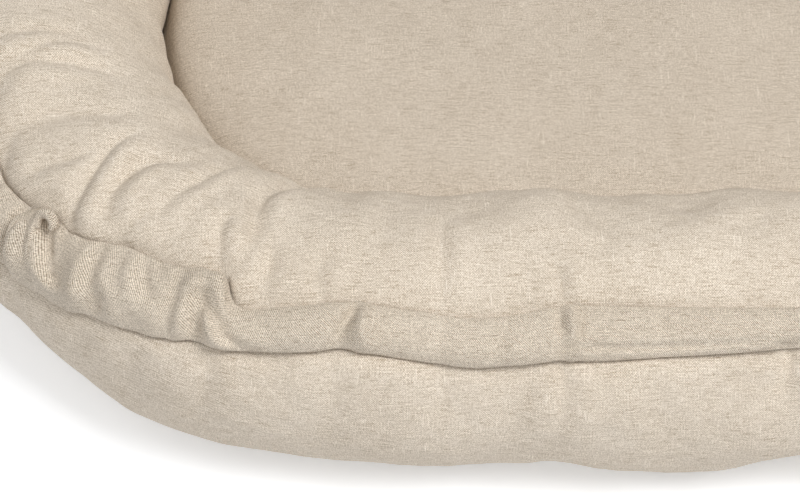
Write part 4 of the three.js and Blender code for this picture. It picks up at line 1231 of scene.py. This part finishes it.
# Base: a quilted pad with a slot for the zip
BASE_REACH, BASE_THICKNESS = 0.0355, 0.0060
SLOT_HALF_LENGTH, SLOT_HALF_WIDTH = 0.104, 0.008
SLOT_STRAIGHT = SLOT_HALF_LENGTH - SLOT_HALF_WIDTH
BASE_COUNT, BOTTOM_STEPS, TOP_STEPS, RIM_STEPS = 460, 62, 14, 7
QUILT_PITCH, QUILT_GROOVE, QUILT_DEPTH, HEM_DEPTH = 0.072, 0.006, 0.0016, 0.0011


def base_outline(angles):
    """How far the base's edge and the slot's edge are from the slot's middle, at these angles."""
    centre, out, _ = ring_at(places([(RING_HALF, 0.002)]))
    edge = centre + out * BASE_REACH - [FOOT_X, 0]
    turn = np.unwrap(np.arctan2(edge[:, 1], edge[:, 0]) % (2 * math.pi))
    order = np.argsort(turn % (2 * math.pi))
    far = np.interp(angles, (turn % (2 * math.pi))[order], np.hypot(*edge.T)[order], period=2 * math.pi)
    cos, sin = np.abs(np.cos(angles)), np.abs(np.sin(angles))
    flank = SLOT_HALF_WIDTH / np.maximum(cos, 1e-9)
    root = np.sqrt(np.maximum(SLOT_HALF_WIDTH ** 2 - (SLOT_STRAIGHT * cos) ** 2, 0))
    near = np.where(flank * sin <= SLOT_STRAIGHT, flank, SLOT_STRAIGHT * sin + root)
    return near, far


def base_profile():
    """The pad's section from slot to edge and back: (share of the way out, shift outwards, height)."""
    half = BASE_THICKNESS / 2
    rim = np.radians(np.linspace(-90, 90, RIM_STEPS))[1:-1]

    def flat(shares, height):
        return [(share, half * (float(share == 0) - float(share == 1)), height) for share in shares]

    profile = flat(np.linspace(0, 1, BOTTOM_STEPS) ** 0.92, 0.0)
    profile += [(1.0, half * (math.cos(a) - 1), half + half * math.sin(a)) for a in rim]
    profile += flat([1.0], BASE_THICKNESS)
    profile += flat(np.linspace(1, 0, TOP_STEPS)[1:], BASE_THICKNESS)
    profile += [(0.0, half * (1 - math.cos(a)), half + half * math.sin(a)) for a in rim[::-1]]
    return [np.array(values) for values in zip(*profile)]


def base_piece():
    """The padded underside, stitched in a diamond pattern, with a hem round its edge and its slot."""
    dense = np.linspace(0, 2 * math.pi, 20001)
    near, far = base_outline(dense)
    measure = 0
    for radius in (near * 1.6, far):
        x, y = radius * np.cos(dense), radius * np.sin(dense)
        run = np.concatenate([[0], np.cumsum(np.hypot(np.diff(x), np.diff(y)))])
        measure = measure + run / run[-1]
    angles = np.interp(np.arange(BASE_COUNT) / BASE_COUNT * measure[-1], measure, dense)
    near, far = base_outline(angles)
    share, shift, height = base_profile()
    radius = near[:, None] + (far - near)[:, None] * share + shift
    x, y = FOOT_X + radius * np.cos(angles)[:, None], radius * np.sin(angles)[:, None]
    points = np.stack([x, y, height + 0 * x], -1)
    is_bottom = (np.arange(len(share)) < BOTTOM_STEPS)[None, :]
    groove = 0
    for line in ((x + y) / math.sqrt(2), (x - y) / math.sqrt(2)):
        off = np.abs((line / QUILT_PITCH + 0.5) % 1 - 0.5) * QUILT_PITCH
        groove = np.maximum(groove, np.exp(-((off / QUILT_GROOVE) ** 2)))
    from_slot = np.hypot(x - FOOT_X, np.maximum(np.abs(y) - SLOT_STRAIGHT, 0)) - SLOT_HALF_WIDTH
    to_edge = np.where(is_bottom, 1 - share, 0) * (far - near)[:, None]
    clear = smoothstep(from_slot, 0.010, 0.022) * smoothstep(to_edge, 0.010, 0.024)
    around_slot = np.exp(-(((from_slot - 0.0065) / 0.003) ** 2))
    hem = np.exp(-(((to_edge - 0.008) / 0.0035) ** 2))
    rise = QUILT_DEPTH * groove * clear + HEM_DEPTH * around_slot + HEM_DEPTH * hem
    points[..., 2] += np.where(is_bottom, rise, 0)
    points = tuck(points)

    def uvs(i, j, di, dj):
        column = (j + dj) % points.shape[1]
        at = points[(i + di) % BASE_COUNT, column]
        away = at[:, :2] - [FOOT_X, 0]
        away[:, 1] -= np.clip(away[:, 1], -SLOT_STRAIGHT, SLOT_STRAIGHT)
        turned = np.where(share[column] > 0.5, 0.9, -0.9)[:, None]
        return at[:, :2] + unit(away) * at[:, 2:] * turned

    piece = grid_mesh("base_pad", points, uvs, close_along=True)
    face_outward(piece)
    dress(piece, base_cloth, rounded=False)
    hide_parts("base_panel")
    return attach(piece, "lounger")


# The drawcord's radius, the length of a turn of its strands, and its height above the bolster
CORD_RADIUS, CORD_LAY, CORD_LIFT = 0.00135, 0.011, 0.0020


def drawcord_piece():
    """A twisted cord of three strands that follows the casing from eyelet to eyelet."""
    end = RING_HALF - EYELET_FROM_END
    rows_at = places([(end, 0.003)])
    s = rows_at[:, None]
    twist = s / CORD_LAY * 2 * math.pi
    radius = CORD_RADIUS * (1 + 0.1 * np.abs(np.sin(1.5 * (ROUND + twist))))
    degrees = casing_middle(s) + np.degrees(radius * np.cos(ROUND) / MEAN_RADIUS)
    points = section_point(s + 0 * ROUND, degrees, CORD_LIFT + radius * np.sin(ROUND))

    def uvs(i, j, di, dj):
        return np.stack([rows_at[i + di], (j + dj) * 0.0007], 1)

    piece = grid_mesh("casing_cord", points, uvs, caps=True)
    face_outward(piece)
    dress(piece, cord_cotton, rounded=False)
    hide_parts("drawcord")
    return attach(piece, "lounger")


def eyelet_place(name):
    """Where the frame's eyelet is: a matrix whose Z is its axis, out of the casing, from its flange's top."""
    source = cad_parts[name]
    co = coordinates(source)
    world = np.array(source.matrix_world)
    co = co @ world[:3, :3].T + world[:3, 3]
    middle = co.mean(0)
    _, _, axes = np.linalg.svd(co - middle)
    axis = axes[2] * np.sign(axes[2][2])
    top = ((co - middle) @ axis).max()
    turned = Vector(axis).to_track_quat("Z", "Y").to_matrix().to_4x4()
    return Matrix.Translation(Vector(middle + axis * top)) @ turned


# An eyelet's section: (radius, height above the casing's cloth), in mm, round from the bottom of its bore
EYELET_SECTION = [
    (2.2, -3.5), (2.2, -0.5), (2.25, -0.22), (2.45, -0.05), (2.8, 0.0), (3.5, -0.02), (4.1, -0.12),
    (4.4, -0.3), (4.5, -0.55), (4.4, -0.72), (2.75, -0.74), (2.7, -3.0), (3.6, -3.05), (3.6, -3.5)]
EYELET_SIDES = 48
HOLE_RADIUS, HOLE_DEPTH = 0.0027, 0.0060


def eyelet_model():
    """A brass eyelet with a rounded flange, extruded ring by ring round its bore; both are its copies."""
    bpy.ops.object.select_all(action="DESELECT")
    section = [(radius / 1000, height / 1000) for radius, height in EYELET_SECTION]
    radius, height = section[0]
    bpy.ops.mesh.primitive_circle_add(vertices=EYELET_SIDES, radius=radius, location=(0, 0, height))
    piece = bpy.context.object
    bpy.ops.object.transform_apply(location=True, rotation=False, scale=False)
    bpy.ops.object.mode_set(mode="EDIT")
    bpy.ops.mesh.select_all(action="SELECT")
    for next_radius, next_height in section[1:] + section[:1]:
        bpy.ops.mesh.extrude_region_move(TRANSFORM_OT_translate={"value": (0, 0, next_height - height)})
        grow = next_radius / radius
        bpy.ops.transform.resize(value=(grow, grow, 1), center_override=(0, 0, 0))
        radius, height = next_radius, next_height
    bpy.ops.mesh.select_all(action="SELECT")
    bpy.ops.mesh.remove_doubles(threshold=0.00001)
    bpy.ops.object.mode_set(mode="OBJECT")
    face_outward(piece)
    dress(piece, eyelet_brass, rounded=False)
    return piece


def eyelet(model, name, band):
    """A copy of the modelled eyelet in its place, and the hole in the band that it lines."""
    place = eyelet_place(name)
    piece = model.copy()
    piece.data = model.data.copy()
    piece.name = f"rounded_{name}"
    bpy.context.scene.collection.objects.link(piece)
    piece.data.transform(place)
    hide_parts(name)
    bpy.ops.object.select_all(action="DESELECT")
    bpy.ops.mesh.primitive_cylinder_add(vertices=32, radius=HOLE_RADIUS, depth=HOLE_DEPTH)
    cutter = bpy.context.object
    cutter.data.transform(place)
    apply_modifier(band, "BOOLEAN", object=cutter, operation="DIFFERENCE", solver="EXACT")
    bpy.data.objects.remove(cutter)
    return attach(piece, "lounger")


cover_piece()
band = casing_piece()
casing_tongue()
casing_curl()
eyelet_shape = eyelet_model()
for side in ("left", "right"):
    eyelet(eyelet_shape, f"eyelet_{side}", band)
bpy.data.objects.remove(eyelet_shape)
sleeping_surface()
for side in (-1, 1):
    end_cap(side)
base_piece()
drawcord_piece()

# Camera, light and floor
ELEVATION = math.radians(50)
TARGET = Vector((-0.167, -0.182, 0.086))
DISTANCE, LENS, SENSOR = 1.8, 162, 36
WORLD_LIGHT, FLOOR_GLOW = 0.39, 0.36
FLOOR_SIZE, FLOOR_Z = 12, -0.0004
# The floor lets rays through that start closer than this to it, and further below the base's slot
TOUCHING, SLOT_TOUCHING, SLOT_MARGIN = 0.003, 0.012, 0.004

back = Vector((0, -math.cos(ELEVATION), math.sin(ELEVATION)))
camera_data = bpy.data.cameras.new("camera")
camera_data.lens, camera_data.sensor_width = LENS, SENSOR
camera = add_object("camera", camera_data)
camera.location = TARGET + back * DISTANCE
camera.rotation_euler = (math.pi / 2 - ELEVATION, 0, 0)
bpy.context.scene.camera = camera
bpy.context.scene.view_settings.view_transform = "Standard"


def area_light(name, place, size, power):
    """A square lamp, size metres wide, that shines on the object."""
    data = bpy.data.lights.new(name, "AREA")
    data.shape, data.size, data.energy = "SQUARE", size, power
    lamp = add_object(name, data)
    lamp.location = place
    lamp.rotation_euler = (Vector((0, 0, 0.05)) - Vector(place)).to_track_quat("-Z", "Y").to_euler()


area_light("key_light", (1.10, -1.12, 2.55), size=1.2, power=56)
area_light("fill_light", (-1.5, -1.0, 2.1), size=1.6, power=12)


def studio_world():
    """White where the camera sees it, and weaker where it lights the object."""
    world = bpy.data.worlds.new("studio")
    bpy.context.scene.world = world
    world.use_nodes = True
    world.node_tree.nodes.clear()
    n = Nodes(world.node_tree)
    path = n.add("LightPath")
    seen = n.math("MAXIMUM", path.outputs["Is Camera Ray"], path.outputs["Is Glossy Ray"])
    seen = n.math("MAXIMUM", seen, path.outputs["Is Transmission Ray"])
    lit = n.add("Background", {"Color": (1, 1, 1, 1), "Strength": WORLD_LIGHT})
    white = n.add("Background", {"Color": (1, 1, 1, 1), "Strength": 1.0})
    mix = n.add("MixShader", {0: seen, 1: lit.outputs[0], 2: white.outputs[0]})
    n.put(n.add("OutputWorld").inputs[0], mix.outputs[0])


def studio_floor():
    """A white floor with a soft shadow, seen through from below."""
    bpy.ops.object.select_all(action="DESELECT")
    bpy.ops.mesh.primitive_plane_add(size=FLOOR_SIZE, location=(0, 0, FLOOR_Z))
    floor = bpy.context.object
    floor.name = "floor"
    material, n, shader = new_material("floor_white")
    shader.inputs["Base Color"].default_value = (0.90, 0.92, 0.95, 1)
    shader.inputs["Roughness"].default_value = 0.9
    shader.inputs["Specular IOR Level"].default_value = 0.1
    path = n.add("LightPath")
    shader.inputs["Emission Color"].default_value = (1, 1, 1, 1)
    n.put(shader.inputs["Emission Strength"], n.math("MULTIPLY", path.outputs["Is Camera Ray"], FLOOR_GLOW))
    clear = n.add("BsdfTransparent")
    place = n.add("SeparateXYZ", {0: n.add("NewGeometry").outputs["Position"]})
    beside = n.math("ABSOLUTE", n.math("SUBTRACT", place.outputs[0], FOOT_X))
    along = n.math("ABSOLUTE", place.outputs[1])
    beside = n.math("LESS_THAN", beside, SLOT_HALF_WIDTH + SLOT_MARGIN)
    along = n.math("LESS_THAN", along, SLOT_HALF_LENGTH + SLOT_MARGIN)
    reach = n.math("MULTIPLY_ADD", n.math("MULTIPLY", beside, along), SLOT_TOUCHING, TOUCHING)
    touching = n.math("LESS_THAN", path.outputs["Ray Length"], reach)
    unseen = n.math("MAXIMUM", n.add("NewGeometry").outputs["Backfacing"], touching)
    mix = n.add("MixShader", {0: unseen})
    n.put(mix.inputs[1], shader.outputs[0])
    n.put(mix.inputs[2], clear.outputs[0])
    n.put(n.tree.nodes["Material Output"].inputs[0], mix.outputs[0])
    floor.data.materials.append(material)
    floor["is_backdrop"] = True


studio_world()
studio_floor()

visual_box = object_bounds()
[[list(map(float, corner)) for corner in box] for box in (cad_box, visual_box)]
